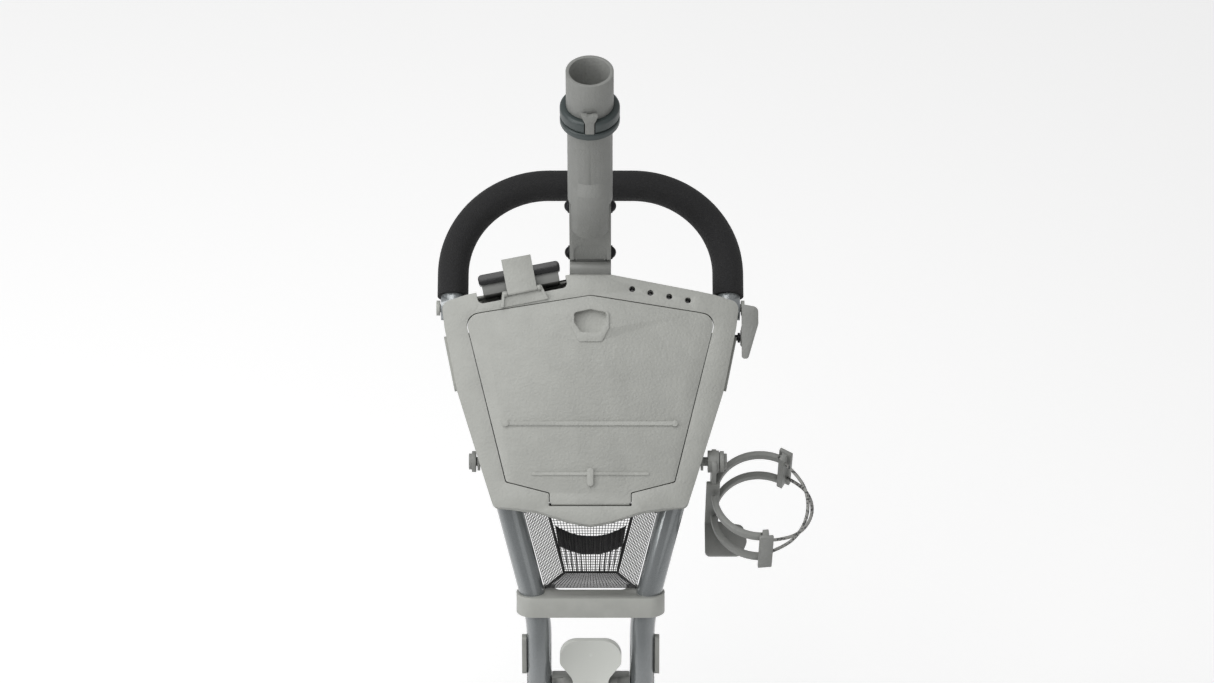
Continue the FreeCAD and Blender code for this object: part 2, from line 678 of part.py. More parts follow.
def scorecard_clip():
    """The spring clip: a flat tongue from its hinge up over the holder."""
    at = Vector(0, -7.5, 4.6)
    barrel = rod_x(-14.8, 14.8, at, 2.3)
    plate = side_prism([(-7.5, 5.2, 0), (-6, 4.9, 0), (26, 8.4, 0.6), (26, 10.4, 0.6),
                        (-7.5, 6.9, 0)], -14.8, 14.8)
    clip = fuse_all(barrel, plate).cut(rod_x(-20, 20, at, 1.2 + RUN_FIT))
    return placed(placed(clip, RIM), CONSOLE)


# ---- brake lever on the right top corner ----
BRAKE = on_console(0, 64, -26)


def brake_lever():
    hub = rod_x(149.6, 157, BRAKE, 8)
    blade = prism([(150.5, -32, 3), (167, -35, 6), (167, -52, 8), (157, -86, 3), (150.5, -86, 3)],
                  -18, -11)
    web = prism([(150.2, -52, 2), (156.6, -52, 2), (156.6, -74, 2), (150.2, -74, 2)], -26, -12)
    lever = fuse_all(hub, placed(blade, CONSOLE), placed(web, CONSOLE))
    return lever.cut(rod_x(140, 170, BRAKE, 3 + RUN_FIT))


def brake_pivot_bolt():
    shank = rod_x(141.6, 157.3, BRAKE, 3)
    head = rod_x(157.3, 159.3, BRAKE, 5.5)
    spacer = rod_x(146.8, 149.1, BRAKE, 5)
    return fuse_all(shank, head, spacer)


# ---- drink holder, in its own frame on the right stud ----
DRINK_CENTRE = Vector(DRINK_X, -20, 0)
RING_LOW = -80.0
RING_HIGH = -38.0
RING_TALL = 8.5
REAR_END = 60.0
FRONT_END = -85.0


def ring_point(degrees, radius, z):
    a = math.radians(degrees)
    return DRINK_CENTRE + Vector(radius * math.cos(a), radius * math.sin(a), z)


def ring_arc(z, start, end):
    """A band of the ring between two angles, drawn as two arcs and two ends."""
    outer, inner = DRINK_R, DRINK_R - DRINK_BAND
    mid = (start + end) / 2
    edges = [Part.Arc(ring_point(start, outer, z), ring_point(mid, outer, z),
                      ring_point(end, outer, z)).toShape(),
             Part.LineSegment(ring_point(end, outer, z), ring_point(end, inner, z)).toShape(),
             Part.Arc(ring_point(end, inner, z), ring_point(mid, inner, z),
                      ring_point(start, inner, z)).toShape(),
             Part.LineSegment(ring_point(start, inner, z), ring_point(start, outer, z)).toShape()]
    return Part.Face(Part.Wire(edges)).extrude(Vector(0, 0, RING_TALL))


def end_plate(degrees):
    """The plate that joins both bands at an arm's end, with two cord lugs."""
    plate = box(-3, 9, -3, 3, RING_LOW - 4, RING_HIGH + RING_TALL + 3)
    flange = box(5, 9, -7, 7, RING_LOW - 6, RING_HIGH + RING_TALL + 5)
    plate = fuse_all(plate, flange)
    at = ring_point(degrees, DRINK_R - 4, 0)
    return placed(plate, Placement(at, Rotation(Z_AXIS, degrees)))


def drink_bracket():
    """Hub on the stud, a side plate down from it, a front flange and the base shelf."""
    side = side_prism([(-14, 10, 8), (11, 10, 8), (15, -30, 6), (11, -104, 3),
                       (-12, -104, 3), (-17, -40, 8)], 120.5, 125)
    front = prism([(115.5, -17, 1), (129, -17, 1), (129, -12.5, 1), (115.5, -12.5, 1)], -104, -18)
    rear = prism([(120.5, 9, 1), (130, 12, 1), (130, 15.5, 1), (120.5, 14, 1)], -76, -8)
    shelf = prism([(115.5, -52, 5), (152, -52, 9), (158, -36, 6), (154, -18, 6), (120.5, -12, 2),
                   (115.5, -14, 1)],
                  -104, -100)
    hub = rod_x(116.5, 127.6, Vector(), 11)
    body = fuse_all(side, front, rear, shelf, hub)
    return placed(body.cut(rod_x(105, 135, Vector(), 4.5 + RUN_FIT)), DRINK)


def drink_arm(start, end, bracket):
    bands = [ring_arc(z, start, end) for z in (RING_LOW, RING_HIGH)]
    arm = fuse_all(end_plate(end), *bands)
    return placed(arm, DRINK).cut(bracket)


def drink_cords(arms):
    """Two elastic cords that close the ring and cross each other once."""
    cords = []
    steps = 5
    for radius, z0, z1 in ((DRINK_R - 3.5, RING_HIGH + 3, RING_LOW + 9),
                           (DRINK_R + 1.0, RING_LOW + 9, RING_HIGH + 3)):
        points = []
        for i in range(steps + 1):
            t = i / steps
            bulge = 2.5 * math.sin(math.pi * t)
            angle = REAR_END - 2 + (FRONT_END + 4 - REAR_END) * t
            points.append((DRINK.multVec(ring_point(angle, radius + bulge, z0 + (z1 - z0) * t)), 34))
        cord = swept(points, 1.7)
        for arm in arms:
            cord = cord.cut(arm)
        cords.append(max(cord.Solids, key=lambda solid: solid.Volume))
    return cords


# ---- folding latch paddle, on the hinge bracket ----
def latch_paddle():
    """A spoon-shaped release lever that lies up the stem from its pin."""
    face = prism([(-17, -196, 2), (17, -196, 2), (18, -174, 12), (31, -157, 10), (31, -133, 17),
                  (-31, -133, 17), (-31, -157, 10), (-18, -174, 12)], 10, 22)
    bowl = Part.makeSphere(74, Vector(0, -150, 88.5))
    trough = rod(Vector(0, -220, 44), Vector(0, -130, 52), 28)
    paddle = face.cut(bowl).cut(trough)
    barrel = rod_x(-17, 17, LATCH_AXIS, 6.5)
    paddle = paddle.cut(box(-40, 40, -230, -188, 0, 40)).fuse(barrel)
    paddle = paddle.cut(rod_x(-40, 40, LATCH_AXIS, 3 + RUN_FIT))
    return placed(paddle, STEM)


def latch_pin():
    return placed(rod_x(-27.8, 27.8, LATCH_AXIS, 3), STEM)


# ---- lower frame ----
def lower_tube(side):
    x = side * STEM_NARROW
    top = LOWER.multVec(Vector(x, -17, 0))
    foot = LOWER.multVec(Vector(x, -(LOWER_LENGTH - 28), 0))
    return pipe_length(top, foot, TUBE_R, TUBE_BORE)


def lower_bars(radius):
    return [rod(Vector(s * STEM_NARROW, -17, 0), Vector(s * STEM_NARROW, -LOWER_LENGTH, 0), radius)
            for s in (-1, 1)]


def lower_hinge_bracket():
    """Three knuckles of the folding hinge with sockets for the lower tubes."""
    origin = Vector()
    centre = rod_x(-13.5, 13.5, origin, 16)
    outers = [rod_x(s * 37.6, s * 68.5, origin, 16) for s in (-1, 1)]
    sockets = [rod(Vector(s * STEM_NARROW, -6, 0), Vector(s * STEM_NARROW, -52, 0), 15.5)
               for s in (-1, 1)]
    web = box(-40, 40, -44, -18.5, -9, 9)
    neck = box(-13.5, 13.5, -24, 0, -9, 9)
    body = fuse_all(centre, web, neck, *outers, *sockets)
    body = body.cut(Part.makeCompound(lower_bars(TUBE_R)))
    return placed(body.cut(rod_x(-70, 70, origin, 6.02)), LOWER)


def hinge_pin():
    heads = [rod_x(s * 69, s * 73, HINGE, 9) for s in (-1, 1)]
    return fuse_all(rod_x(-69, 69, HINGE, 6), *heads)


def cradle(y0, y1, inner, outer, half_angle):
    """Part of a ring facing the bag, across the frame, in the lower frame's axes."""
    lift = 19.0
    centre_z = lift + CRADLE_R
    a = math.radians(half_angle)

    def at(radius, angle):
        return Vector(radius * math.sin(angle), 0, centre_z - radius * math.cos(angle))
    edges = [Part.Arc(at(outer, -a), at(outer, 0), at(outer, a)).toShape(),
             Part.LineSegment(at(outer, a), at(inner, a)).toShape(),
             Part.Arc(at(inner, a), at(inner, 0), at(inner, -a)).toShape(),
             Part.LineSegment(at(inner, -a), at(outer, -a)).toShape()]
    face = Part.Face(Part.Wire(edges))
    face.translate(Vector(0, y0, 0))
    return face.extrude(Vector(0, y1 - y0, 0))


CRADLE_R = 118.0
UPPER_REST = -125.0
LOWER_REST = -(LOWER_LENGTH - 150)


def saddle(y0, y1):
    """A block across both tubes that carries a bag rest."""
    block = box(-66, 66, y0, y1, -3, 21)
    return block.cut(Part.makeCompound(lower_bars(TUBE_R))).cut(box(-34, 34, y0 - 1, y1 + 1, -5, 9))


def upper_bag_rest():
    y0, y1 = UPPER_REST - 13, UPPER_REST + 13
    arc = cradle(y0, y1, CRADLE_R - 6, CRADLE_R, 52)
    block = saddle(y0, y1).cut(cradle(y0 - 1, y1 + 1, 1, CRADLE_R - 1, 60))
    return placed(fuse_all(block, arc), LOWER)


def lower_bag_rest():
    y0, y1 = LOWER_REST - 16, LOWER_REST + 16
    arc = cradle(y0, y1, CRADLE_R - 6, CRADLE_R, 46)
    block = saddle(y0, y1).cut(cradle(y0 - 1, y1 + 1, 1, CRADLE_R - 1, 60))
    shelf = Part.makeCylinder(84, 6, Vector(0, y0, 72), Vector(0, 1, 0))
    shelf = shelf.common(box(-84, 84, y0 - 1, y0 + 10, 15, 118))
    boss = Part.makeCylinder(32, 2, Vector(0, y0 + 6, 78), Vector(0, 1, 0))
    return placed(fuse_all(block, arc, shelf, boss), LOWER)


def rest_pads():
    pads = []
    for middle, half, angle in ((UPPER_REST, 11, 49), (LOWER_REST, 9, 43)):
        pads.append(placed(cradle(middle - half, middle + half, CRADLE_R - 10, CRADLE_R - 6.02,
                                  angle), LOWER))
    return pads


def yoke_bracket():
    """A block between the lower tubes whose ears carry the rear leg shaft."""
    block = box(-50, 50, -YOKE_DROP - 20, -YOKE_DROP + 20, -9, 9)
    ears = [box(min(s * 20, s * 32), max(s * 20, s * 32), -YOKE_DROP - 15, -YOKE_DROP + 15,
                -YOKE_BACK, 0) for s in (-1, 1)]
    axis = Vector(0, -YOKE_DROP, -YOKE_BACK)
    rounds = [rod_x(min(s * 20, s * 32), max(s * 20, s * 32), axis, 15) for s in (-1, 1)]
    body = fuse_all(block, *ears, *rounds)
    body = body.cut(Part.makeCompound(lower_bars(TUBE_R)))
    body = max(body.Solids, key=lambda solid: solid.Volume)
    return placed(body.cut(rod_x(-40, 40, axis, SHAFT_R + RUN_FIT)), LOWER)


def front_dropouts():
    """Plugs in the lower tube ends with flat plates down to the axle."""
    plates = []
    for side in (-1, 1):
        x = side * STEM_NARROW
        foot = -(LOWER_LENGTH - 28)
        plug = rod(Vector(x, foot + 24, 0), Vector(x, foot, 0), TUBE_BORE)
        collar = rod(Vector(x, foot, 0), Vector(x, foot - 4, 0), TUBE_R)
        tang = side_prism([(foot, -12, 0), (foot, 12, 0), (-LOWER_LENGTH - 13, 12, 11.9),
                           (-LOWER_LENGTH - 13, -12, 11.9)][::-1], x - 3, x + 3)
        plate = fuse_all(plug, collar, tang)
        plates.append(placed(plate.cut(rod_x(-70, 70, Vector(0, -LOWER_LENGTH, 0), 6.02)), LOWER))
    return plates


def front_axle():
    """The axle with its outer nuts and inner spacers, either side of each plate."""
    inner = STEM_NARROW - 3.05
    outer = STEM_NARROW + 3.05
    nut_end = outer + 6
    parts = [rod_x(s * outer, s * nut_end, FRONT_AXLE, 10) for s in (-1, 1)]
    parts += [rod_x(s * 36.5, s * inner, FRONT_AXLE, 9) for s in (-1, 1)]
    return fuse_all(rod_x(-nut_end, nut_end, FRONT_AXLE, 6), *parts)


# ---- rear legs ----
LEG_FOOT_X = 290.0


def rear_leg(side):
    top = Vector(side * LEG_X, YOKE.y, YOKE.z)
    foot = Vector(side * LEG_FOOT_X, REAR_AXLE.y, REAR_AXLE.z)
    tube = rod(top, foot, TUBE_R)
    knuckle = rod_x(side * (LEG_X - 13), side * (LEG_X + 13), YOKE, 17)
    housing = rod_x(side * (LEG_FOOT_X - 14), side * (LEG_FOOT_X + 14), REAR_AXLE, 17)
    bore_ends = [top + (foot - top) * 0.05, top + (foot - top) * 0.95]
    leg = fuse_all(tube, knuckle, housing).cut(rod(*bore_ends, TUBE_BORE))
    leg = leg.cut(rod_x(side * 60, side * 100, YOKE, SHAFT_R + 0.02))
    leg = leg.cut(rod_x(side * 92, side * 95.1, YOKE, 13.1))
    return leg.cut(rod_x(side * 270, side * 310, REAR_AXLE, 8.02))


def yoke_shaft():
    caps = [rod_x(min(s * 92.2, s * 95), max(s * 92.2, s * 95), YOKE, 13) for s in (-1, 1)]
    return fuse_all(rod_x(-92.2, 92.2, YOKE, SHAFT_R), *caps)


def rear_axles():
    axles = []
    for side in (-1, 1):
        shank = rod_x(side * 270, side * 353, REAR_AXLE, 8)
        nut = rod_x(side * 353, side * 360, REAR_AXLE, 13)
        axles.append(fuse_all(shank, nut))
    return axles


# ---- wheels, built about their own axis along X at the origin ----
def wheel_rim(radius, width, hub_r, hub_half, bore, spokes):
    """Hub, spokes and channel rim."""
    hub = ring_x(-hub_half, hub_half, Vector(), hub_r, bore)
    edge = ring_x(-width / 2, width / 2, Vector(), radius, radius - 12)
    well = ring_x(-width / 2 + 5, width / 2 - 5, Vector(), radius + 1, radius - 5)
    edge = edge.cut(well)
    arms = []
    for i in range(spokes):
        arm = prism([(-9, hub_r - 3, 0), (9, hub_r - 3, 0), (6.5, radius - 8, 0),
                     (-6.5, radius - 8, 0)], -6, 6)
        upright = Placement(Vector(), Rotation(Vector(0, 1, 0), 90))
        spin = Placement(Vector(), Rotation(X_AXIS, 360 * i / spokes))
        arms.append(placed(placed(arm, upright), spin))
    return fuse_all(hub, edge, *arms)


def wheel_tyre(radius, rim_radius, width, rim_width):
    """A solid tyre seated in the rim channel, crowned across its tread."""
    half = width / 2
    seat = rim_width / 2 - 5.1
    bottom = rim_radius + 0.1
    wall = rim_radius - 4.9
    pairs = [(-seat, wall, 0), (seat, wall, 0), (seat, bottom, 0), (half, bottom, 3),
             (half, radius, 13), (-half, radius, 13), (-half, bottom, 3), (-seat, bottom, 0)]
    face = Part.Face(Part.Wire(rounded_edges([(Vector(x, y, 0), r) for x, y, r in pairs], True)))
    return face.revolve(Vector(), X_AXIS, 360)


def at_point(shape, point):
    return placed(shape, Placement(point, Rotation()))


def console_screws():
    """Pan-head screws through the tray floor."""
    screws = []
    for u, p in ((-60, 60), (60, 60), (-48, 190), (48, 190)):
        shank = rod(Vector(u, -p, -CONSOLE_DEPTH), Vector(u, -p, -CONSOLE_DEPTH + SHELL + 3), 1.9)
        head = rod(Vector(u, -p, -CONSOLE_DEPTH - 2.4), Vector(u, -p, -CONSOLE_DEPTH), 4)
        screws.append(placed(fuse_all(shank, head), CONSOLE))
    return screws


def build():
    screws = console_screws()
    handle_bolts = handle_pivot_bolts()
    brake_bolt = brake_pivot_bolt()
    fixings = screws + handle_bolts + [brake_bolt, tee_blank()]
    tray = console_tray().multiFuse(slot_rims())
    tray = tray.cut(Part.makeCompound(fixings)).cut(Part.makeCompound(tee_bores()))
    bezel = console_bezel()
    studs = accessory_studs()
    solid_studs = Part.makeCompound(studs)
    save("frame_tube_left", frame_tube(-1))
    save("frame_tube_right", frame_tube(1))
    save("crossbar_band", crossbar_band())
    save("console_tray", tray.cut(solid_studs))
    save("console_bezel", bezel.cut(solid_studs))
    save("console_screws", *screws)
    save("tee_block", tee_block())
    liners = [liner.cut(tray).cut(bezel).cut(brake_bolt) for liner in slot_liners()]
    save("slot_liners", *liners)
    save("net_pocket", net_pocket())
    save("net_elastic", net_elastic())
    save("accessory_studs", *studs)
    save("umbrella_foot", umbrella_foot())
    save("upper_hinge_bracket", upper_hinge_bracket())
    save("strap_cleats", *strap_cleats())
    save("scorecard_tray", scorecard_tray())
    save("scorecard_backing", scorecard_backing())
    save("clip_base", clip_base())
    save("scorecard_clip", scorecard_clip())
    save("lid_panel", lid_panel())
    save("lid_rib", lid_rib())
    save("lid_hinge_pin", rod_x(-46, 46, LID_PIN, 1.2))

    left_grip, right_grip = grips()
    save("handle_tube", handle_tube())
    save("grip_left", left_grip)
    save("grip_right", right_grip)
    save("handle_pivot_bolts", *handle_bolts)

    save("umbrella_arm", umbrella_arm())
    save("foot_bolt", pivot_bolt(FOOT_PIVOT))
    save("knee_bolt", pivot_bolt(KNEE_PIVOT))
    save("umbrella_tube", umbrella_tube())
    save("clamp_collar", clamp_collar())
    save("clamp_tongue", clamp_tongue())
    save("brake_lever", brake_lever())
    save("brake_pivot_bolt", brake_bolt)

    bracket = drink_bracket()
    rear_arm = drink_arm(165, REAR_END, bracket)
    front_arm = drink_arm(-178, FRONT_END, bracket)
    save("drink_bracket", bracket)
    save("drink_arm_rear", rear_arm)
    save("drink_arm_front", front_arm)
    save("drink_cords", *drink_cords((rear_arm, front_arm)))
    save("latch_paddle", latch_paddle())
    save("latch_pin", latch_pin())

    save("lower_tube_left", lower_tube(-1))
    save("lower_tube_right", lower_tube(1))
    save("lower_hinge_bracket", lower_hinge_bracket())
    save("hinge_pin", hinge_pin())
    save("upper_bag_rest", upper_bag_rest())
    save("lower_bag_rest", lower_bag_rest())
    save("rest_pads", *rest_pads())
    save("yoke_bracket", yoke_bracket())
    save("front_dropouts", *front_dropouts())
    save("front_axle", front_axle())
    front = FRONT_WHEEL_R
    save("front_rim", at_point(wheel_rim(front - 26, 36, 20, 36, 6 + RUN_FIT, 5), FRONT_AXLE))
    save("front_tyre", at_point(wheel_tyre(front, front - 26, 44, 36), FRONT_AXLE))

    save("yoke_shaft", yoke_shaft())
    save("leg_left", rear_leg(-1))
    save("leg_right", rear_leg(1))
    save("rear_axles", *rear_axles())
    rear = REAR_WHEEL_R
    for side, word in ((-1, "left"), (1, "right")):
        hub_at = Vector(side * REAR_AXLE.x, REAR_AXLE.y, REAR_AXLE.z)
        save("rim_" + word, at_point(wheel_rim(rear - 28, 34, 24, 22, 8 + RUN_FIT, 5), hub_at))
        save("tyre_" + word, at_point(wheel_tyre(rear, rear - 28, 40, 34), hub_at))


build()
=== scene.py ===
"""Looks for a folding golf push cart: soft pieces, finishes, lights and camera."""
import math

import bmesh
import bpy
from bpy.props import FloatProperty, FloatVectorProperty, IntProperty, PointerProperty
from mathutils import Matrix, Vector


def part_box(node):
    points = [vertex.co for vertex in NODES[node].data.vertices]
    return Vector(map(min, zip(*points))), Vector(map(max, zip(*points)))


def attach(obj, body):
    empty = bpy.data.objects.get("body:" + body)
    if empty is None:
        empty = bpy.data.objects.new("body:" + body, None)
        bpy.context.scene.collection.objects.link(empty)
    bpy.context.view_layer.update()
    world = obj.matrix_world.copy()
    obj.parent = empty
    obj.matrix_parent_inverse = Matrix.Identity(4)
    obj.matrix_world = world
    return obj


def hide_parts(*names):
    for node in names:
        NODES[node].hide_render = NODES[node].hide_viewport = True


bl_info = {
    "name": "Golf Push Cart",
    "version": (1, 0, 0),
    "blender": (4, 5, 0),
    "location": "3D View > Sidebar > Push Cart",
    "description": "Builds the soft pieces, finishes and stage of a folding golf push cart",
    "category": "Object",
}

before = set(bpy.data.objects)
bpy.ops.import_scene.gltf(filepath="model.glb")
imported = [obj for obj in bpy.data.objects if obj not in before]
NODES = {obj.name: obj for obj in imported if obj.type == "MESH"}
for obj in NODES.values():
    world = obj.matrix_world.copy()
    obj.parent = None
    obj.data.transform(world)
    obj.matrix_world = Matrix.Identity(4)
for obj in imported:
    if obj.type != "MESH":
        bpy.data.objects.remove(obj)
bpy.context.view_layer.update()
MM = 0.001


# ---- sizes and colours that a user would change ----
class CartColours(bpy.types.PropertyGroup):
    """Base colours of the cart's finishes."""
    console: FloatVectorProperty(name="Console", description="Warm grey of the console mouldings",
                                 subtype="COLOR", default=(0.375, 0.38, 0.356))
    mast: FloatVectorProperty(name="Mast", description="Grey of the mast and small mouldings",
                              subtype="COLOR", default=(0.225, 0.229, 0.218))
    # The paddle's pale grey is partly its own smoother, lighter plastic and partly painted light
    # for the strong light on its upturned face.
    pale: FloatVectorProperty(name="Pale", description="Paddle, clip and collar tongue",
                              subtype="COLOR", default=(0.50, 0.51, 0.49))
    collar: FloatVectorProperty(name="Collar", description="Blue-grey clamp collar",
                                subtype="COLOR", default=(0.032, 0.040, 0.043))
    paint: FloatVectorProperty(name="Frame paint", description="Gunmetal paint of the tubes",
                               subtype="COLOR", default=(0.19, 0.203, 0.208))
    foam: FloatVectorProperty(name="Foam", description="Handle foam",
                              subtype="COLOR", default=(0.009, 0.009, 0.0095))
    black: FloatVectorProperty(name="Black", description="Net, elastic, bolts and tray",
                               subtype="COLOR", default=(0.012, 0.012, 0.013))


class CartSizes(bpy.types.PropertyGroup):
    """Sizes of the pieces that are made here."""
    net_pitch: FloatProperty(name="Net pitch", description="Distance between the net's threads",
                             subtype="DISTANCE", unit="LENGTH", default=0.0028, min=0.001)
    net_thread: FloatProperty(name="Net thread", description="Thickness of the net's threads",
                              subtype="DISTANCE", unit="LENGTH", default=0.00095, min=0.0002)
    edge_round: FloatProperty(name="Edge round", description="Rounding of the moulded edges",
                              subtype="DISTANCE", unit="LENGTH", default=0.0009, min=0.0)
    gathers: IntProperty(name="Gathers", description="Folds along the pocket's elastic top",
                         default=13, min=4)


def colours():
    return bpy.context.scene.cart_colours


def sizes():
    return bpy.context.scene.cart_sizes


# ---- material building ----
def add_node(tree, kind, **settings):
    """A shader node, with its plain settings and its sockets' values."""
    node = tree.nodes.new(kind)
    for key, value in settings.items():
        label = key.replace("_", " ").title()
        if label in node.inputs:
            node.inputs[label].default_value = value
        else:
            setattr(node, key, value)
    return node


def start_material(name, colour, roughness, metallic=0.0):
    material = bpy.data.materials.new(name)
    material.use_nodes = True
    tree = material.node_tree
    shader = tree.nodes["Principled BSDF"]
    shader.inputs["Base Color"].default_value = (*colour, 1.0)
    shader.inputs["Roughness"].default_value = roughness
    shader.inputs["Metallic"].default_value = metallic
    place = tree.nodes.new("ShaderNodeTexCoord")
    return material, tree, shader, place.outputs["Object"]


def vary_colour(tree, shader, where, colour, scale, amount):
    """Slow light and dark patches over the base colour."""
    patches = add_node(tree, "ShaderNodeTexNoise", scale=scale, detail=4.0, roughness=0.6)
    tree.links.new(where, patches.inputs["Vector"])
    ramp = tree.nodes.new("ShaderNodeValToRGB")
    ramp.color_ramp.elements[0].position = 0.3
    ramp.color_ramp.elements[1].position = 0.7
    ramp.color_ramp.elements[0].color = (*[c * (1 - amount) for c in colour], 1)
    ramp.color_ramp.elements[1].color = (*[min(c * (1 + amount), 1) for c in colour], 1)
    tree.links.new(patches.outputs["Fac"], ramp.inputs["Fac"])
    tree.links.new(ramp.outputs["Color"], shader.inputs["Base Color"])
    return ramp


def vary_roughness(tree, shader, where, scale, low, high):
    smears = add_node(tree, "ShaderNodeTexNoise", scale=scale, detail=3.0)
    tree.links.new(where, smears.inputs["Vector"])
    span = tree.nodes.new("ShaderNodeMapRange")
    span.inputs["To Min"].default_value = low
    span.inputs["To Max"].default_value = high
    tree.links.new(smears.outputs["Fac"], span.inputs["Value"])
    tree.links.new(span.outputs["Result"], shader.inputs["Roughness"])


def bump_from(tree, shader, heights, distance, strength=1.0):
    """Bumps stacked from a list of height sockets."""
    last = None
    for height, part in heights:
        bump = add_node(tree, "ShaderNodeBump", strength=strength * part, distance=distance)
        tree.links.new(height, bump.inputs["Height"])
        if last is not None:
            tree.links.new(last, bump.inputs["Normal"])
        last = bump.outputs["Normal"]
    tree.links.new(last, shader.inputs["Normal"])


def pebble_height(tree, where, pitch):
    """Rounded, uneven pebbles about one pitch across."""
    warp = add_node(tree, "ShaderNodeTexNoise", scale=0.5 / pitch, detail=2.0)
    tree.links.new(where, warp.inputs["Vector"])
    shift = tree.nodes.new("ShaderNodeVectorMath")
    shift.operation = "MULTIPLY_ADD"
    shift.inputs[1].default_value = (pitch, pitch, pitch)
    tree.links.new(warp.outputs["Color"], shift.inputs[0])
    tree.links.new(where, shift.inputs[2])
    cells = add_node(tree, "ShaderNodeTexVoronoi", feature="SMOOTH_F1", scale=1.0 / pitch)
    tree.links.new(shift.outputs[0], cells.inputs["Vector"])
    return cells.outputs["Distance"]


def pebbled_plastic(name, colour, pitch=0.0023, depth=0.0004, roughness=0.5):
    """Moulded plastic with a fine leather grain, as on tool and luggage housings."""
    material, tree, shader, where = start_material(name, colour, roughness)
    vary_colour(tree, shader, where, colour, 38.0, 0.05)
    vary_roughness(tree, shader, where, 60.0, roughness - 0.06, roughness + 0.08)
    fine = add_node(tree, "ShaderNodeTexNoise", scale=2600.0, detail=2.0)
    tree.links.new(where, fine.inputs["Vector"])
    bump_from(tree, shader, [(pebble_height(tree, where, pitch), 1.0), (fine.outputs["Fac"], 0.3)],
              depth, 1.0)
    shader.inputs["Specular IOR Level"].default_value = 0.42
    return material


def smooth_plastic(name, colour, roughness=0.3):
    """Plain moulded plastic with faint flow marks."""
    material, tree, shader, where = start_material(name, colour, roughness)
    vary_colour(tree, shader, where, colour, 55.0, 0.06)
    vary_roughness(tree, shader, where, 90.0, roughness - 0.05, roughness + 0.09)
    waves = add_node(tree, "ShaderNodeTexNoise", scale=320.0, detail=3.0)
    tree.links.new(where, waves.inputs["Vector"])
    bump_from(tree, shader, [(waves.outputs["Fac"], 0.5)], 0.00006)
    return material


def gunmetal_paint(name, colour):
    """Glossy metallic tube paint: fine flake under a clear coat."""
    material, tree, shader, where = start_material(name, colour, 0.25, 0.4)
    flake = add_node(tree, "ShaderNodeTexVoronoi", scale=3800.0)
    tree.links.new(where, flake.inputs["Vector"])
    ramp = tree.nodes.new("ShaderNodeValToRGB")
    ramp.color_ramp.elements[0].color = (*[c * 0.8 for c in colour], 1)
    ramp.color_ramp.elements[1].color = (*[c * 1.35 for c in colour], 1)
    tree.links.new(flake.outputs["Color"], ramp.inputs["Fac"])
    tree.links.new(ramp.outputs["Color"], shader.inputs["Base Color"])
    vary_roughness(tree, shader, where, 45.0, 0.2, 0.3)
    peel = add_node(tree, "ShaderNodeTexNoise", scale=420.0, detail=2.0)
    tree.links.new(where, peel.inputs["Vector"])
    bump_from(tree, shader, [(peel.outputs["Fac"], 0.35)], 0.00005)
    shader.inputs["Coat Weight"].default_value = 1.0
    shader.inputs["Coat Roughness"].default_value = 0.06
    return material


def turned_metal(name, colour, roughness):
    """Machined or plated metal with fine rings along X."""
    material, tree, shader, where = start_material(name, colour, roughness, 1.0)
    rings = add_node(tree, "ShaderNodeTexWave", bands_direction="X", scale=1500.0, distortion=1.5)
    tree.links.new(where, rings.inputs["Vector"])
    vary_roughness(tree, shader, where, 120.0, roughness - 0.06, roughness + 0.1)
    bump_from(tree, shader, [(rings.outputs["Fac"], 0.25)], 0.00003)
    return material


def handle_foam(name, colour):
    """Closed-cell foam: fine open pores and pebbled skin."""
    material, tree, shader, where = start_material(name, colour, 0.86)
    pores = add_node(tree, "ShaderNodeTexVoronoi", scale=1150.0)
    tree.links.new(where, pores.inputs["Vector"])
    ramp = tree.nodes.new("ShaderNodeValToRGB")
    ramp.color_ramp.elements[0].position = 0.15
    ramp.color_ramp.elements[1].position = 0.75
    ramp.color_ramp.elements[0].color = (*[c * 0.45 for c in colour], 1)
    ramp.color_ramp.elements[1].color = (*[c * 1.9 for c in colour], 1)
    tree.links.new(pores.outputs["Distance"], ramp.inputs["Fac"])
    tree.links.new(ramp.outputs["Color"], shader.inputs["Base Color"])
    skin = add_node(tree, "ShaderNodeTexNoise", scale=520.0, detail=4.0)
    tree.links.new(where, skin.inputs["Vector"])
    bump_from(tree, shader, [(pores.outputs["Distance"], 1.0), (skin.outputs["Fac"], 0.8)], 0.0005)
    shader.inputs["Sheen Weight"].default_value = 0.02
    return material


def tyre_rubber(name, colour):
    material, tree, shader, where = start_material(name, colour, 0.78)
    vary_colour(tree, shader, where, colour, 25.0, 0.25)
    grain = add_node(tree, "ShaderNodeTexNoise", scale=900.0, detail=4.0)
    tree.links.new(where, grain.inputs["Vector"])
    vary_roughness(tree, shader, where, 70.0, 0.68, 0.9)
    bump_from(tree, shader, [(grain.outputs["Fac"], 0.6)], 0.0002)
    return material


def nylon_thread(name, colour):
    """Satin synthetic thread with a fine twist."""
    material, tree, shader, where = start_material(name, colour, 0.5)
    vary_colour(tree, shader, where, colour, 160.0, 0.35)
    twist = add_node(tree, "ShaderNodeTexWave", bands_direction="DIAGONAL", scale=900.0,
                     distortion=1.0)
    tree.links.new(where, twist.inputs["Vector"])
    bump_from(tree, shader, [(twist.outputs["Fac"], 0.5)], 0.0001)
    shader.inputs["Sheen Weight"].default_value = 0.25
    return material


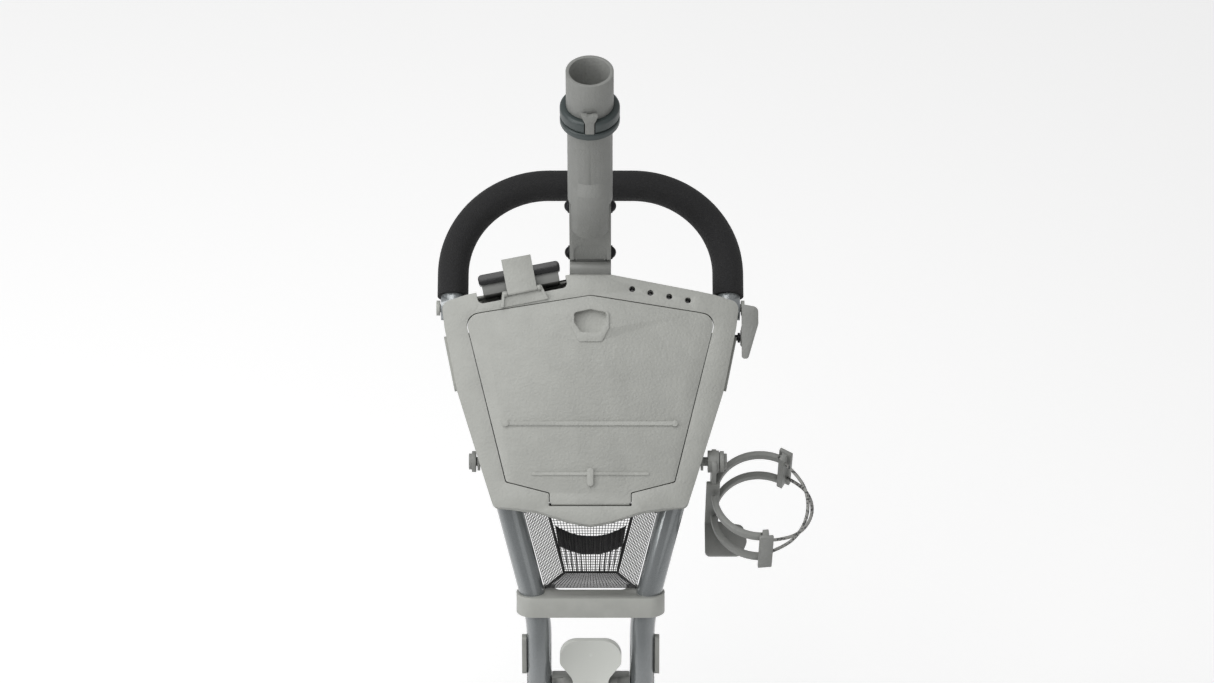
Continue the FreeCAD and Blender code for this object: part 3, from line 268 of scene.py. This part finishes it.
def ribbed_elastic(name, colour):
    """Knitted elastic: close upright ribs crossed by fine rubber lines."""
    material, tree, shader, where = start_material(name, colour, 0.72)
    vary_colour(tree, shader, where, colour, 90.0, 0.4)
    ribs = add_node(tree, "ShaderNodeTexWave", bands_direction="X", scale=260.0, distortion=0.8,
                    detail=1.0)
    rows = add_node(tree, "ShaderNodeTexWave", bands_direction="Z", scale=420.0, distortion=0.4)
    for wave in (ribs, rows):
        tree.links.new(where, wave.inputs["Vector"])
    bump_from(tree, shader, [(ribs.outputs["Fac"], 1.0), (rows.outputs["Fac"], 0.6)], 0.00035)
    shader.inputs["Sheen Weight"].default_value = 0.35
    shader.inputs["Sheen Roughness"].default_value = 0.5
    return material


def flecked_cord(name, colour, fleck):
    """Braided cover of an elastic cord, grey with dark crossing flecks."""
    material, tree, shader, where = start_material(name, colour, 0.66)
    braid = add_node(tree, "ShaderNodeTexVoronoi", scale=620.0, randomness=0.85)
    tree.links.new(where, braid.inputs["Vector"])
    pick = tree.nodes.new("ShaderNodeValToRGB")
    pick.color_ramp.interpolation = "CONSTANT"
    pick.color_ramp.elements[0].color = (*fleck, 1)
    pick.color_ramp.elements[1].position = 0.36
    pick.color_ramp.elements[1].color = (*colour, 1)
    tree.links.new(braid.outputs["Color"], pick.inputs["Fac"])
    tree.links.new(pick.outputs["Color"], shader.inputs["Base Color"])
    bump_from(tree, shader, [(braid.outputs["Distance"], 1.0)], 0.0004)
    shader.inputs["Sheen Weight"].default_value = 0.2
    return material


def pad_foam(name, colour):
    """Dense moulded pad with a soft matt skin."""
    material, tree, shader, where = start_material(name, colour, 0.82)
    vary_colour(tree, shader, where, colour, 60.0, 0.3)
    bump_from(tree, shader, [(pebble_height(tree, where, 0.0019), 1.0)], 0.00035)
    vary_roughness(tree, shader, where, 80.0, 0.72, 0.9)
    return material


def make_finishes():
    """Every finish of the cart, by name; made once and found again by name."""
    c = colours()
    makers = {
        "console_grain": lambda name: pebbled_plastic(name, c.console),
        "mast_grain": lambda name: pebbled_plastic(name, c.mast, 0.0021, 0.00035, 0.48),
        "pale_plastic": lambda name: smooth_plastic(name, c.pale, 0.3),
        "band_plastic": lambda name: smooth_plastic(name, [v * 1.02 for v in c.console], 0.42),
        "collar_plastic": lambda name: smooth_plastic(name, c.collar, 0.42),
        "gloss_black": lambda name: smooth_plastic(name, c.black, 0.22),
        "matt_black": lambda name: smooth_plastic(name, c.black, 0.5),
        "tray_grey": lambda name: smooth_plastic(name, [v * 0.75 for v in c.mast], 0.45),
        "cleat_grey": lambda name: smooth_plastic(name, [v * 0.75 for v in c.console], 0.38),
        "frame_paint": lambda name: gunmetal_paint(name, c.paint),
        "handle_steel": lambda name: gunmetal_paint(name, [v * 1.25 for v in c.paint]),
        "plated_steel": lambda name: turned_metal(name, (0.42, 0.42, 0.43), 0.3),
        "blackened_steel": lambda name: turned_metal(name, (0.03, 0.03, 0.032), 0.42),
        "grip_foam": lambda name: handle_foam(name, c.foam),
        "tyre_foam": lambda name: tyre_rubber(name, (0.025, 0.025, 0.026)),
        "net_thread": lambda name: nylon_thread(name, c.black),
        "pocket_elastic": lambda name: ribbed_elastic(name, c.black),
        "cord_cover": lambda name: flecked_cord(name, (0.29, 0.29, 0.275), (0.05, 0.05, 0.05)),
        "rest_pad": lambda name: pad_foam(name, (0.03, 0.03, 0.031)),
        "wheel_grain": lambda name: smooth_plastic(name, (0.13, 0.135, 0.135), 0.4),
    }
    return makers


def finish(name):
    """The named finish, made the first time that it is asked for."""
    if name not in bpy.data.materials:
        make_finishes()[name](name)
    return bpy.data.materials[name]


# ---- CAD nodes: which finish each takes, and how far its edges are rounded ----
ROUND = {"large": 1.6, "usual": 1.0, "small": 0.5, "none": 0.0}
NODE_FINISH = {
    "console_bezel": ("console_grain", "usual"), "console_tray": ("console_grain", "usual"),
    "lid_panel": ("console_grain", "small"), "lid_rib": ("console_grain", "small"),
    # The slot liners are thin gloss black sheets just inside the slots: painted shade for the dark
    # inside of the openings.
    "tee_block": ("matt_black", "small"), "slot_liners": ("gloss_black", "small"),
    "console_screws": ("blackened_steel", "small"), "accessory_studs": ("mast_grain", "usual"),
    "lid_hinge_pin": ("plated_steel", "none"), "umbrella_foot": ("mast_grain", "usual"),
    "umbrella_arm": ("mast_grain", "usual"), "umbrella_tube": ("mast_grain", "usual"),
    "clamp_collar": ("collar_plastic", "usual"), "clamp_tongue": ("mast_grain", "small"),
    "foot_bolt": ("blackened_steel", "usual"), "knee_bolt": ("blackened_steel", "usual"),
    "scorecard_tray": ("gloss_black", "large"), "scorecard_backing": ("tray_grey", "small"),
    "clip_base": ("console_grain", "small"), "scorecard_clip": ("console_grain", "small"),
    "brake_lever": ("mast_grain", "usual"), "brake_pivot_bolt": ("blackened_steel", "small"),
    "drink_bracket": ("mast_grain", "usual"), "drink_arm_rear": ("mast_grain", "usual"),
    # latch_paddle takes pale_plastic, whose paler grey is partly painted light on the paddle's
    # upturned face.
    "drink_arm_front": ("mast_grain", "usual"), "latch_paddle": ("pale_plastic", "usual"),
    "latch_pin": ("plated_steel", "small"), "crossbar_band": ("band_plastic", "usual"),
    "strap_cleats": ("cleat_grey", "usual"), "upper_hinge_bracket": ("mast_grain", "usual"),
    "lower_hinge_bracket": ("mast_grain", "usual"), "hinge_pin": ("blackened_steel", "usual"),
    "frame_tube_left": ("frame_paint", "small"), "frame_tube_right": ("frame_paint", "small"),
    "lower_tube_left": ("frame_paint", "small"), "lower_tube_right": ("frame_paint", "small"),
    "leg_left": ("frame_paint", "small"), "leg_right": ("frame_paint", "small"),
    "handle_tube": ("handle_steel", "small"), "handle_pivot_bolts": ("console_grain", "small"),
    "upper_bag_rest": ("mast_grain", "usual"), "lower_bag_rest": ("mast_grain", "usual"),
    "yoke_bracket": ("mast_grain", "usual"), "yoke_shaft": ("plated_steel", "usual"),
    "front_dropouts": ("plated_steel", "small"), "front_axle": ("blackened_steel", "small"),
    "front_rim": ("wheel_grain", "usual"), "rim_left": ("wheel_grain", "usual"),
    "rim_right": ("wheel_grain", "usual"), "rear_axles": ("blackened_steel", "usual"),
}


def set_finish(thing, material):
    """Put one finish on every slot of an object."""
    if not thing.material_slots:
        thing.data.materials.append(material)
    for slot in thing.material_slots:
        slot.link = "OBJECT"
        slot.material = material


def soften_node(node, width):
    """Join the node's loose triangles, round its edges and shade it smoothly."""
    node.data.shade_smooth()
    weld = node.modifiers.new("Joined skin", "WELD")
    weld.merge_threshold = 0.00001
    if width > 0:
        bevel = node.modifiers.new("Rounded edges", "BEVEL")
        bevel.width = width
        bevel.segments = 2
        bevel.limit_method = "ANGLE"
        bevel.angle_limit = math.radians(34)
        bevel.use_clamp_overlap = True
        bevel.harden_normals = True
    else:
        split = node.modifiers.new("Crisp edges", "EDGE_SPLIT")
        split.split_angle = math.radians(34)


# ---- the cart's own frames, in metres ----
def middle(node):
    low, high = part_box(node)
    return (Vector(low) + Vector(high)) / 2


def tilted_frame(origin, degrees):
    """Axes at origin: X across, Y up along a run tilted from the ground, Z out of it."""
    return Matrix.Translation(origin) @ Matrix.Rotation(math.radians(degrees), 4, "X")


STEM_TILT = 65.0
STEM = tilted_frame(Vector((0, 178.5, 819)) * MM, STEM_TILT)
HANDLE = tilted_frame(Vector((0, *middle("handle_pivot_bolts").yz)), 26.0)
DRINK = tilted_frame(Vector((0, *middle("accessory_studs").yz)), 14.0)
HINGE = Vector((0, *middle("hinge_pin").yz))
DOWN_FRAME = HINGE - Vector((0, *middle("front_axle").yz))
LOWER = tilted_frame(HINGE, math.degrees(math.atan2(DOWN_FRAME.z, DOWN_FRAME.y)))


def new_piece(name, mesh, body, material, smooth=True):
    """A new object at the origin, riding on its body and taking its finish."""
    piece = bpy.data.objects.new(name, mesh)
    bpy.context.scene.collection.objects.link(piece)
    if smooth:
        mesh.shade_smooth()
    set_finish(piece, material)
    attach(piece, body)
    return piece


def mesh_from(bm, name, place):
    """Finish a bmesh drawn in millimetres in its own frame: put it in place, in metres."""
    bmesh.ops.scale(bm, vec=(MM, MM, MM), verts=bm.verts)
    bmesh.ops.transform(bm, matrix=place, verts=bm.verts)
    bmesh.ops.recalc_face_normals(bm, faces=bm.faces)
    mesh = bpy.data.meshes.new(name)
    bm.to_mesh(mesh)
    bm.free()
    return mesh


def edges_of(geometry):
    return [item for item in geometry if isinstance(item, bmesh.types.BMEdge)]


def verts_of(geometry):
    return [item for item in geometry if isinstance(item, bmesh.types.BMVert)]


def extend(bm, edges, move):
    """Extrude a loop of edges by one move and return the new loop."""
    made = bmesh.ops.extrude_edge_only(bm, edges=edges)["geom"]
    bmesh.ops.translate(bm, vec=move, verts=verts_of(made))
    return edges_of_ring(made)


def edges_of_ring(geometry):
    """The edges of an extrusion's far end: those that join two of its new corners."""
    fresh = set(verts_of(geometry))
    return [edge for edge in edges_of(geometry) if all(v in fresh for v in edge.verts)]


# ---- pieces ----
GRIP_START = 12.0            # millimetres up the handle from its pivot
HANDLE_HALF = 137.5
HANDLE_REACH = 131.0
HANDLE_BEND = 95.0
GRIP_R = 15.5
GRIP_BORE = 12.15
GRIP_END = 1.2               # half of the hidden gap behind the mast


class CART_OT_finishes(bpy.types.Operator):
    """Give every moulded, painted and metal part its finish and rounded edges"""
    bl_idname = "cart.finishes"
    bl_label = "Finishes"

    def execute(self, context):
        scale = sizes().edge_round / 0.001
        for name, (finish_name, edge) in NODE_FINISH.items():
            set_finish(NODES[name], finish(finish_name))
            soften_node(NODES[name], ROUND[edge] * scale * MM)
        return {"FINISHED"}


def foam_sleeve():
    """Left half of the handle foam: two skins run up, round the bend and across, then joined."""
    bm = bmesh.new()
    upright = Matrix.Translation((-HANDLE_HALF, GRIP_START, 0)) @ Matrix.Rotation(
        math.radians(90), 4, "X")
    ends = []
    for radius in (GRIP_R, GRIP_BORE):
        made = bmesh.ops.create_circle(bm, cap_ends=False, segments=44, radius=radius,
                                       matrix=upright)
        first = list({edge for v in made["verts"] for edge in v.link_edges})
        rise = HANDLE_REACH - HANDLE_BEND - GRIP_START
        loop = extend(bm, first, (0, rise, 0))
        centre = (HANDLE_BEND - HANDLE_HALF, HANDLE_REACH - HANDLE_BEND, 0)
        turned = bmesh.ops.spin(bm, geom=loop, cent=centre, axis=(0, 0, -1), dvec=(0, 0, 0),
                                angle=math.radians(90), steps=30, use_merge=False,
                                use_normal_flip=False, use_duplicate=False)
        last = edges_of(turned["geom_last"])
        across = HANDLE_HALF - HANDLE_BEND - GRIP_END
        ends.append((first, extend(bm, last, (across, 0, 0))))
    for outer, inner in zip(*ends):
        bmesh.ops.bridge_loops(bm, edges=outer + inner)
    bmesh.ops.remove_doubles(bm, verts=bm.verts, dist=0.001)
    return bm


class CART_OT_grips(bpy.types.Operator):
    """Two foam sleeves on the handle, meeting behind the mast"""
    bl_idname = "cart.grips"
    bl_label = "Foam Grips"

    def execute(self, context):
        for name, flip in (("grip_left", 1), ("grip_right", -1)):
            bm = foam_sleeve()
            bmesh.ops.scale(bm, vec=(flip, 1, 1), verts=bm.verts)
            piece = new_piece("foam_" + name, mesh_from(bm, "foam_" + name, HANDLE), "handle",
                              finish("grip_foam"))
            edge = piece.modifiers.new("Soft ends", "BEVEL")
            edge.width = 1.3 * MM
            edge.segments = 3
            edge.limit_method = "ANGLE"
            edge.angle_limit = math.radians(50)
            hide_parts(name)
        return {"FINISHED"}


POUCH_TOP = -1.0             # the net pouch, in the stem's frame, millimetres
POUCH_FOOT = -83.2
POUCH_REAR = -41.2
POUCH_FRONT = -2.4
POUCH_WIDE = 65.4            # half width of its open front, at its top and at its foot
POUCH_SLANT = 19.9
POUCH_TAPER = 19.0           # how much narrower its back is at each side


def pouch_half(y, back=1.0):
    """Half width at a height; back runs from 0 at the open front to 1 at the rear."""
    share = (POUCH_TOP - y) / (POUCH_TOP - POUCH_FOOT)
    return POUCH_WIDE - POUCH_SLANT * share - POUCH_TAPER * back


def net_panel(bm, across, along, put):
    """One grid of the net, each corner of it placed by put(u, share)."""
    made = bmesh.ops.create_grid(bm, x_segments=across, y_segments=along, size=1.0)
    for v in made["verts"]:
        v.co = put(v.co.x, (v.co.y + 1) / 2)


def pouch_net():
    """The pouch's back, sides and floor as one net surface, open at the front and top."""
    pitch = sizes().net_pitch / MM
    depth = POUCH_FRONT - POUCH_REAR
    tall = POUCH_TOP - POUCH_FOOT
    wide = 2 * pouch_half((POUCH_TOP + POUCH_FOOT) / 2)
    bm = bmesh.new()

    def back(u, share):
        y = POUCH_FOOT + tall * share
        return (u * pouch_half(y), y, POUCH_REAR)

    def floor(u, share):
        return (u * pouch_half(POUCH_FOOT, 1 - share), POUCH_FOOT, POUCH_REAR + depth * share)

    net_panel(bm, round(wide / pitch), round(tall / pitch), back)
    net_panel(bm, round(wide / pitch), round(depth / pitch), floor)
    for side in (-1, 1):
        def flank(u, share):
            y = POUCH_FOOT + tall * share
            ahead = (1 + u) / 2
            return (side * pouch_half(y, 1 - ahead), y, POUCH_REAR + depth * ahead)
        net_panel(bm, round(depth / pitch), round(tall / pitch), flank)
    return bm


def tube_piece(name, runs, radius, place, body, material, order=3):
    """A round cord or binding along each run of points, as one mesh; radius in millimetres."""
    curve = bpy.data.curves.new(name, "CURVE")
    curve.dimensions = "3D"
    curve.bevel_depth = radius * MM
    curve.bevel_resolution = 3
    curve.resolution_u = 10
    curve.use_fill_caps = True
    for run in runs:
        line = curve.splines.new("NURBS")
        line.points.add(len(run) - 1)
        for point, at in zip(line.points, run):
            point.co = (*(place @ (Vector(at) * MM)), 1.0)
        line.order_u = order
        line.use_endpoint_u = True
    holder = bpy.data.objects.new(name, curve)
    bpy.context.scene.collection.objects.link(holder)
    bpy.context.view_layer.update()
    mesh = bpy.data.meshes.new_from_object(holder.evaluated_get(
        bpy.context.evaluated_depsgraph_get()))
    mesh.name = name
    bpy.data.objects.remove(holder)
    return new_piece(name, mesh, body, material)


def pouch_rims():
    """The bindings: down the back's sides, out along the floor's sides and round the top."""
    runs = []
    for side in (-1, 1):
        top = side * pouch_half(POUCH_TOP)
        foot = side * pouch_half(POUCH_FOOT)
        runs.append([(top, POUCH_TOP, POUCH_REAR), (foot, POUCH_FOOT, POUCH_REAR),
                     (side * pouch_half(POUCH_FOOT, 0), POUCH_FOOT, POUCH_FRONT)])
        runs.append([(top, POUCH_TOP, POUCH_REAR),
                     (side * pouch_half(POUCH_TOP, 0), POUCH_TOP, POUCH_FRONT)])
    runs.append([(-pouch_half(POUCH_TOP), POUCH_TOP, POUCH_REAR),
                 (pouch_half(POUCH_TOP), POUCH_TOP, POUCH_REAR)])
    runs.append([(-pouch_half(POUCH_FOOT), POUCH_FOOT, POUCH_REAR),
                 (pouch_half(POUCH_FOOT), POUCH_FOOT, POUCH_REAR)])
    return runs


class CART_OT_net_pocket(bpy.types.Operator):
    """The open net pouch behind the upper tubes, thread by thread, with bound edges"""
    bl_idname = "cart.net_pocket"
    bl_label = "Net Pocket"

    def execute(self, context):
        bm = pouch_net()
        area = sum(face.calc_area() for face in bm.faces) * MM * MM
        net = new_piece("net_pouch", mesh_from(bm, "net_pouch", STEM), "upper_frame",
                        finish("net_thread"), smooth=False)
        threads = net.modifiers.new("Threads", "WIREFRAME")
        threads.thickness = sizes().net_thread
        threads.use_even_offset = False
        threads.use_boundary = True
        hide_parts("net_pocket")
        rims = tube_piece("net_binding", pouch_rims(), 1.25, STEM, "upper_frame",
                          finish("pocket_elastic"), order=2)
        return {"FINISHED"}


ELASTIC_STAND = 2.0          # how far the gathers stand out of the band
ELASTIC_TOP = (-31.0, -42.0)     # height of the band's top edge: at its sides, at its middle
ELASTIC_FOOT = (-53.0, -62.0)
INNER_STAND = 3.0            # the inner pocket's distance from the pouch's back
INNER_THREADS = 13
INNER_THREAD_R = 0.55


def elastic_half(y):
    """Half width of the inner pocket at a height."""
    return 35.5 + (y - ELASTIC_TOP[0]) * 0.16


def dipped(ends, u):
    """A sagging edge between the heights at its sides and at its middle."""
    return ends[1] + (ends[0] - ends[1]) * (1 - math.cos(math.pi * u * 0.5)) ** 1.3


def gathered_band():
    """A strip across the inner pocket's top, folded in and out all along its length."""
    folds = sizes().gathers
    bm = bmesh.new()
    made = bmesh.ops.create_grid(bm, x_segments=folds * 12, y_segments=10, size=1.0)
    for v in made["verts"]:
        u, share = v.co.x, (v.co.y + 1) / 2
        y = dipped(ELASTIC_FOOT, u) * (1 - share) + dipped(ELASTIC_TOP, u) * share
        fold = math.sin(folds * math.pi * u + 0.7 * math.sin(7 * u) + 0.8 * math.sin(19 * u))
        loose = 0.3 + 0.7 * math.sin(math.pi * share)
        roll = 0.9 * math.sin(math.pi * share)
        z = POUCH_REAR + INNER_STAND + roll + ELASTIC_STAND * 0.5 * fold * loose
        v.co = (u * elastic_half(y), y, z)
    return bm


def inner_threads():
    """The inner pocket's stretched threads, from its band down to the pouch's floor."""
    runs = []
    for i in range(INNER_THREADS):
        u = -1 + 2 * i / (INNER_THREADS - 1)
        top = dipped(ELASTIC_FOOT, u) + 1.5
        foot = u * elastic_half(POUCH_FOOT)
        mid = (u * elastic_half(top) + foot) / 2
        runs.append([(u * elastic_half(top), top, POUCH_REAR + INNER_STAND),
                     (mid * 0.97, (top + POUCH_FOOT) / 2, POUCH_REAR + 3.6),
                     (foot, POUCH_FOOT + 0.6, POUCH_REAR + 1.2)])
    return runs


class CART_OT_pocket_elastic(bpy.types.Operator):
    """The gathered elastic top of the small pocket on the pouch's back, dipped at its middle"""
    bl_idname = "cart.pocket_elastic"
    bl_label = "Pocket Elastic"

    def execute(self, context):
        bm = gathered_band()
        area = sum(face.calc_area() for face in bm.faces) * MM * MM
        band = new_piece("gathered_elastic", mesh_from(bm, "gathered_elastic", STEM),
                         "upper_frame", finish("pocket_elastic"))
        cloth = band.modifiers.new("Cloth", "SOLIDIFY")
        cloth.thickness = 1.1 * MM
        cloth.offset = 0.0
        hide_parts("net_elastic")
        threads = tube_piece("inner_pocket_threads", inner_threads(), INNER_THREAD_R, STEM,
                             "upper_frame", finish("net_thread"))
        return {"FINISHED"}


RING_AT = (170.0, -20.0)     # middle of the drink ring in its holder's frame, millimetres
CORD_R = 1.7
CORD_ENDS = (58.0, -83.0)    # degrees round the ring, at the rear and the front arm
CORD_HIGH = -36.0
CORD_LOW = -72.0


def cord_run(radius, high_first):
    """Points of one elastic cord from the rear arm round to the front arm."""
    turns = 6
    start, end = CORD_ENDS
    z0, z1 = (CORD_HIGH, CORD_LOW) if high_first else (CORD_LOW, CORD_HIGH)
    run = []
    for i in range(turns + 1):
        share = i / turns
        angle = math.radians(start + (end - start) * share)
        reach = radius + 3.6 * math.sin(math.pi * share)
        run.append((RING_AT[0] + reach * math.cos(angle), RING_AT[1] + reach * math.sin(angle),
                    z0 + (z1 - z0) * share))
    return run


class CART_OT_drink_cords(bpy.types.Operator):
    """The two stretched elastic cords that close the drink ring and cross each other"""
    bl_idname = "cart.drink_cords"
    bl_label = "Drink Cords"

    def execute(self, context):
        runs = [cord_run(45.5, True), cord_run(50.0, False)]
        cords = tube_piece("elastic_cords", runs, CORD_R, DRINK, "drink_holder",
                           finish("cord_cover"))
        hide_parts("drink_cords")
        return {"FINISHED"}


CRADLE_R = 118.0             # bag cradle, in the lower frame, millimetres
CRADLE_LIFT = 19.0
PAD_BACK = CRADLE_R - 6.05
PAD_FACE = CRADLE_R - 10.0


def cradle_pad(along, half, reach):
    """A crowned pad strip round a cradle, with shallow channels across it."""
    bm = bmesh.new()
    outline = [(-half, PAD_BACK), (-half, PAD_FACE + 1.2), (-half + 1.6, PAD_FACE + 0.2),
               (0, PAD_FACE - 0.1), (half - 1.6, PAD_FACE + 0.2), (half, PAD_FACE + 1.2),
               (half, PAD_BACK)]
    ring = [bm.verts.new((0, along + y, CRADLE_LIFT + CRADLE_R - r)) for y, r in outline]
    for here, there in zip(ring, ring[1:] + ring[:1]):
        bm.edges.new((here, there))
    centre = (0, along, CRADLE_LIFT + CRADLE_R)
    bmesh.ops.rotate(bm, verts=bm.verts, cent=centre,
                     matrix=Matrix.Rotation(math.radians(-reach), 3, "Y"))
    first = list(bm.edges)
    turned = bmesh.ops.spin(bm, geom=first, cent=centre, axis=(0, 1, 0), dvec=(0, 0, 0),
                            angle=math.radians(2 * reach), steps=48, use_merge=False,
                            use_normal_flip=False, use_duplicate=False)
    for edges in (first, edges_of(turned["geom_last"])):
        bmesh.ops.contextual_create(bm, geom=edges)
    for v in bm.verts:
        out = v.co - Vector(centre)
        angle = math.degrees(math.atan2(out.x, -out.z))
        flat = Vector((out.x, 0, out.z))
        if flat.length < PAD_FACE + 0.6 and round(angle + reach) % 8 < 2:
            v.co += flat.normalized() * 0.9
    return bm


class CART_OT_rest_pads(bpy.types.Operator):
    """Foam pads on the two bag rests"""
    bl_idname = "cart.rest_pads"
    bl_label = "Rest Pads"

    def execute(self, context):
        low = LOWER.inverted() @ middle("lower_bag_rest")
        high = LOWER.inverted() @ middle("upper_bag_rest")
        for name, along, half, reach in (("upper_pad", high.y / MM, 11.0, 49.0),
                                         ("lower_pad", low.y / MM, 9.0, 43.0)):
            bm = cradle_pad(along, half, reach)
            pad = new_piece(name, mesh_from(bm, name, LOWER), "lower_frame",
                            finish("rest_pad"))
            edge = pad.modifiers.new("Soft edges", "BEVEL")
            edge.width = 0.9 * MM
            edge.segments = 2
            edge.limit_method = "ANGLE"
            edge.angle_limit = math.radians(40)
        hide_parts("rest_pads")
        return {"FINISHED"}


TREAD_STEPS = 96


def tyre_half_line(radius, width, seat, rim_radius):
    """The tyre's outline on one side of its middle, from the rim seat out to the tread."""
    half = width / 2
    return [(seat, rim_radius - 4.8), (seat, rim_radius + 0.2), (half - 1.5, rim_radius + 0.4),
            (half, rim_radius + 3), (half, radius - 12), (half - 1.6, radius - 6.5),
            (half - 4.6, radius - 2.6), (half - 8.5, radius - 1.0), (half - 9.2, radius - 3.4),
            (half - 11.4, radius - 3.4), (half - 12.1, radius - 0.5), (2.2, radius - 0.05),
            (1.4, radius - 2.2)]


def tyre_shape(radius, width, seat, rim_radius):
    """A foam tyre about X: grooves round it and notches across each shoulder."""
    bm = bmesh.new()
    side = tyre_half_line(radius, width, seat, rim_radius)
    line = side + [(-x, r) for x, r in reversed(side)]
    corners = [bm.verts.new((x, 0, r)) for x, r in line]
    for here, there in zip(corners, corners[1:] + corners[:1]):
        bm.edges.new((here, there))
    bmesh.ops.spin(bm, geom=list(bm.edges), cent=(0, 0, 0), axis=(1, 0, 0), dvec=(0, 0, 0),
                   angle=math.radians(360), steps=TREAD_STEPS, use_merge=True,
                   use_normal_flip=False, use_duplicate=False)
    bmesh.ops.remove_doubles(bm, verts=bm.verts, dist=0.001)
    for v in bm.verts:
        reach = math.hypot(v.co.y, v.co.z)
        step = round(math.degrees(math.atan2(v.co.y, v.co.z)) * TREAD_STEPS / 360) % 4
        if step == 0 and reach > radius - 7 and width / 2 - 9 < abs(v.co.x) < width / 2 - 1:
            v.co.y *= (reach - 2.4) / reach
            v.co.z *= (reach - 2.4) / reach
    return bm


class CART_OT_tyres(bpy.types.Operator):
    """Three foam tyres with a grooved tread"""
    bl_idname = "cart.tyres"
    bl_label = "Tyres"

    def execute(self, context):
        for node, radius, width, rim_depth, seat, body in (
                ("front_tyre", 120.0, 44.0, 26.0, 12.9, "front_wheel"),
                ("tyre_left", 146.0, 40.0, 28.0, 11.9, "wheel_left"),
                ("tyre_right", 146.0, 40.0, 28.0, 11.9, "wheel_right")):
            bm = tyre_shape(radius, width, seat, radius - rim_depth)
            mesh = mesh_from(bm, "foam_" + node, Matrix.Translation(middle(node)))
            tyre = new_piece("foam_" + node, mesh, body, finish("tyre_foam"))
            edge = tyre.modifiers.new("Groove edges", "BEVEL")
            edge.width = 0.7 * MM
            edge.segments = 2
            edge.limit_method = "ANGLE"
            edge.angle_limit = math.radians(35)
            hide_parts(node)
        return {"FINISHED"}


# ---- stage ----
AIM = Vector((0.0165, 0.2877, 0.9502))
CAMERA_AWAY = 3.75


def soft_light(name, place, size, power, tint=(1, 1, 1)):
    """An area light that faces the console."""
    lamp = bpy.data.lights.new(name, "AREA")
    lamp.shape = "RECTANGLE"
    lamp.size = size[0]
    lamp.size_y = size[1]
    lamp.energy = power
    lamp.color = tint
    holder = bpy.data.objects.new(name, lamp)
    bpy.context.scene.collection.objects.link(holder)
    holder.location = place
    holder.rotation_euler = (AIM - Vector(place)).to_track_quat("-Z", "Y").to_euler()
    return holder


def floor_material():
    """Pale matt studio floor with the faintest mottle."""
    material, tree, shader, where = start_material("studio_floor", (0.9, 0.9, 0.9), 0.9)
    vary_colour(tree, shader, where, (0.9, 0.9, 0.9), 0.6, 0.008)
    shader.inputs["Emission Color"].default_value = (1, 1, 1, 1)
    shader.inputs["Emission Strength"].default_value = 0.34
    return material


class CART_OT_stage(bpy.types.Operator):
    """Pale floor, soft lights and the camera"""
    bl_idname = "cart.stage"
    bl_label = "Stage"

    def execute(self, context):
        scene = context.scene
        bm = bmesh.new()
        bmesh.ops.create_grid(bm, x_segments=4, y_segments=4, size=9.0)
        floor_mesh = bpy.data.meshes.new("studio_floor")
        bm.to_mesh(floor_mesh)
        bm.free()
        floor = bpy.data.objects.new("studio_floor", floor_mesh)
        scene.collection.objects.link(floor)
        set_finish(floor, floor_material())
        scene.world = bpy.data.worlds.new("studio_air")
        scene.world.use_nodes = True
        air = scene.world.node_tree.nodes["Background"]
        air.inputs["Color"].default_value = (1, 1, 1, 1)
        air.inputs["Strength"].default_value = 0.37
        soft_light("overhead_softbox", (-0.6, 0.0, 3.1), (2.2, 1.8), 34)
        soft_light("left_softbox", (-2.2, -0.8, 2.1), (1.2, 1.4), 22)
        soft_light("front_fill", (1.4, -2.2, 1.7), (1.8, 1.4), 4)
        lens = bpy.data.cameras.new("camera")
        lens.lens = 112
        lens.sensor_width = 36
        camera = bpy.data.objects.new("camera", lens)
        scene.collection.objects.link(camera)
        camera.location = AIM + CAMERA_AWAY * Vector((0, -math.sqrt(0.5), math.sqrt(0.5)))
        camera.rotation_euler = (math.radians(45), 0, 0)
        scene.camera = camera
        scene.view_settings.view_transform = "Standard"
        return {"FINISHED"}


class CART_PT_panel(bpy.types.Panel):
    """Sidebar panel that lists the cart's pieces, sizes and colours"""
    bl_idname = "CART_PT_panel"
    bl_label = "Push Cart"
    bl_space_type = "VIEW_3D"
    bl_region_type = "UI"
    bl_category = "Push Cart"

    def draw(self, context):
        for group in (colours(), sizes()):
            for field in group.bl_rna.properties.keys():
                if field not in ("rna_type", "name"):
                    self.layout.prop(group, field)
        for operator in PIECE_OPERATORS:
            self.layout.operator(operator.bl_idname)


PIECE_OPERATORS = (CART_OT_stage, CART_OT_finishes, CART_OT_grips, CART_OT_net_pocket,
                   CART_OT_pocket_elastic, CART_OT_drink_cords, CART_OT_rest_pads, CART_OT_tyres)
CLASSES = (CartColours, CartSizes, *PIECE_OPERATORS, CART_PT_panel)


def register():
    for kind in CLASSES:
        bpy.utils.register_class(kind)
    bpy.types.Scene.cart_colours = PointerProperty(type=CartColours)
    bpy.types.Scene.cart_sizes = PointerProperty(type=CartSizes)


def unregister():
    del bpy.types.Scene.cart_sizes
    del bpy.types.Scene.cart_colours
    for kind in reversed(CLASSES):
        bpy.utils.unregister_class(kind)


def main():
    register()
    bpy.ops.cart.stage()
    bpy.ops.cart.finishes()
    bpy.ops.cart.grips()
    bpy.ops.cart.net_pocket()
    bpy.ops.cart.pocket_elastic()
    bpy.ops.cart.drink_cords()
    bpy.ops.cart.rest_pads()
    bpy.ops.cart.tyres()


if __name__ == "__main__":
    main()
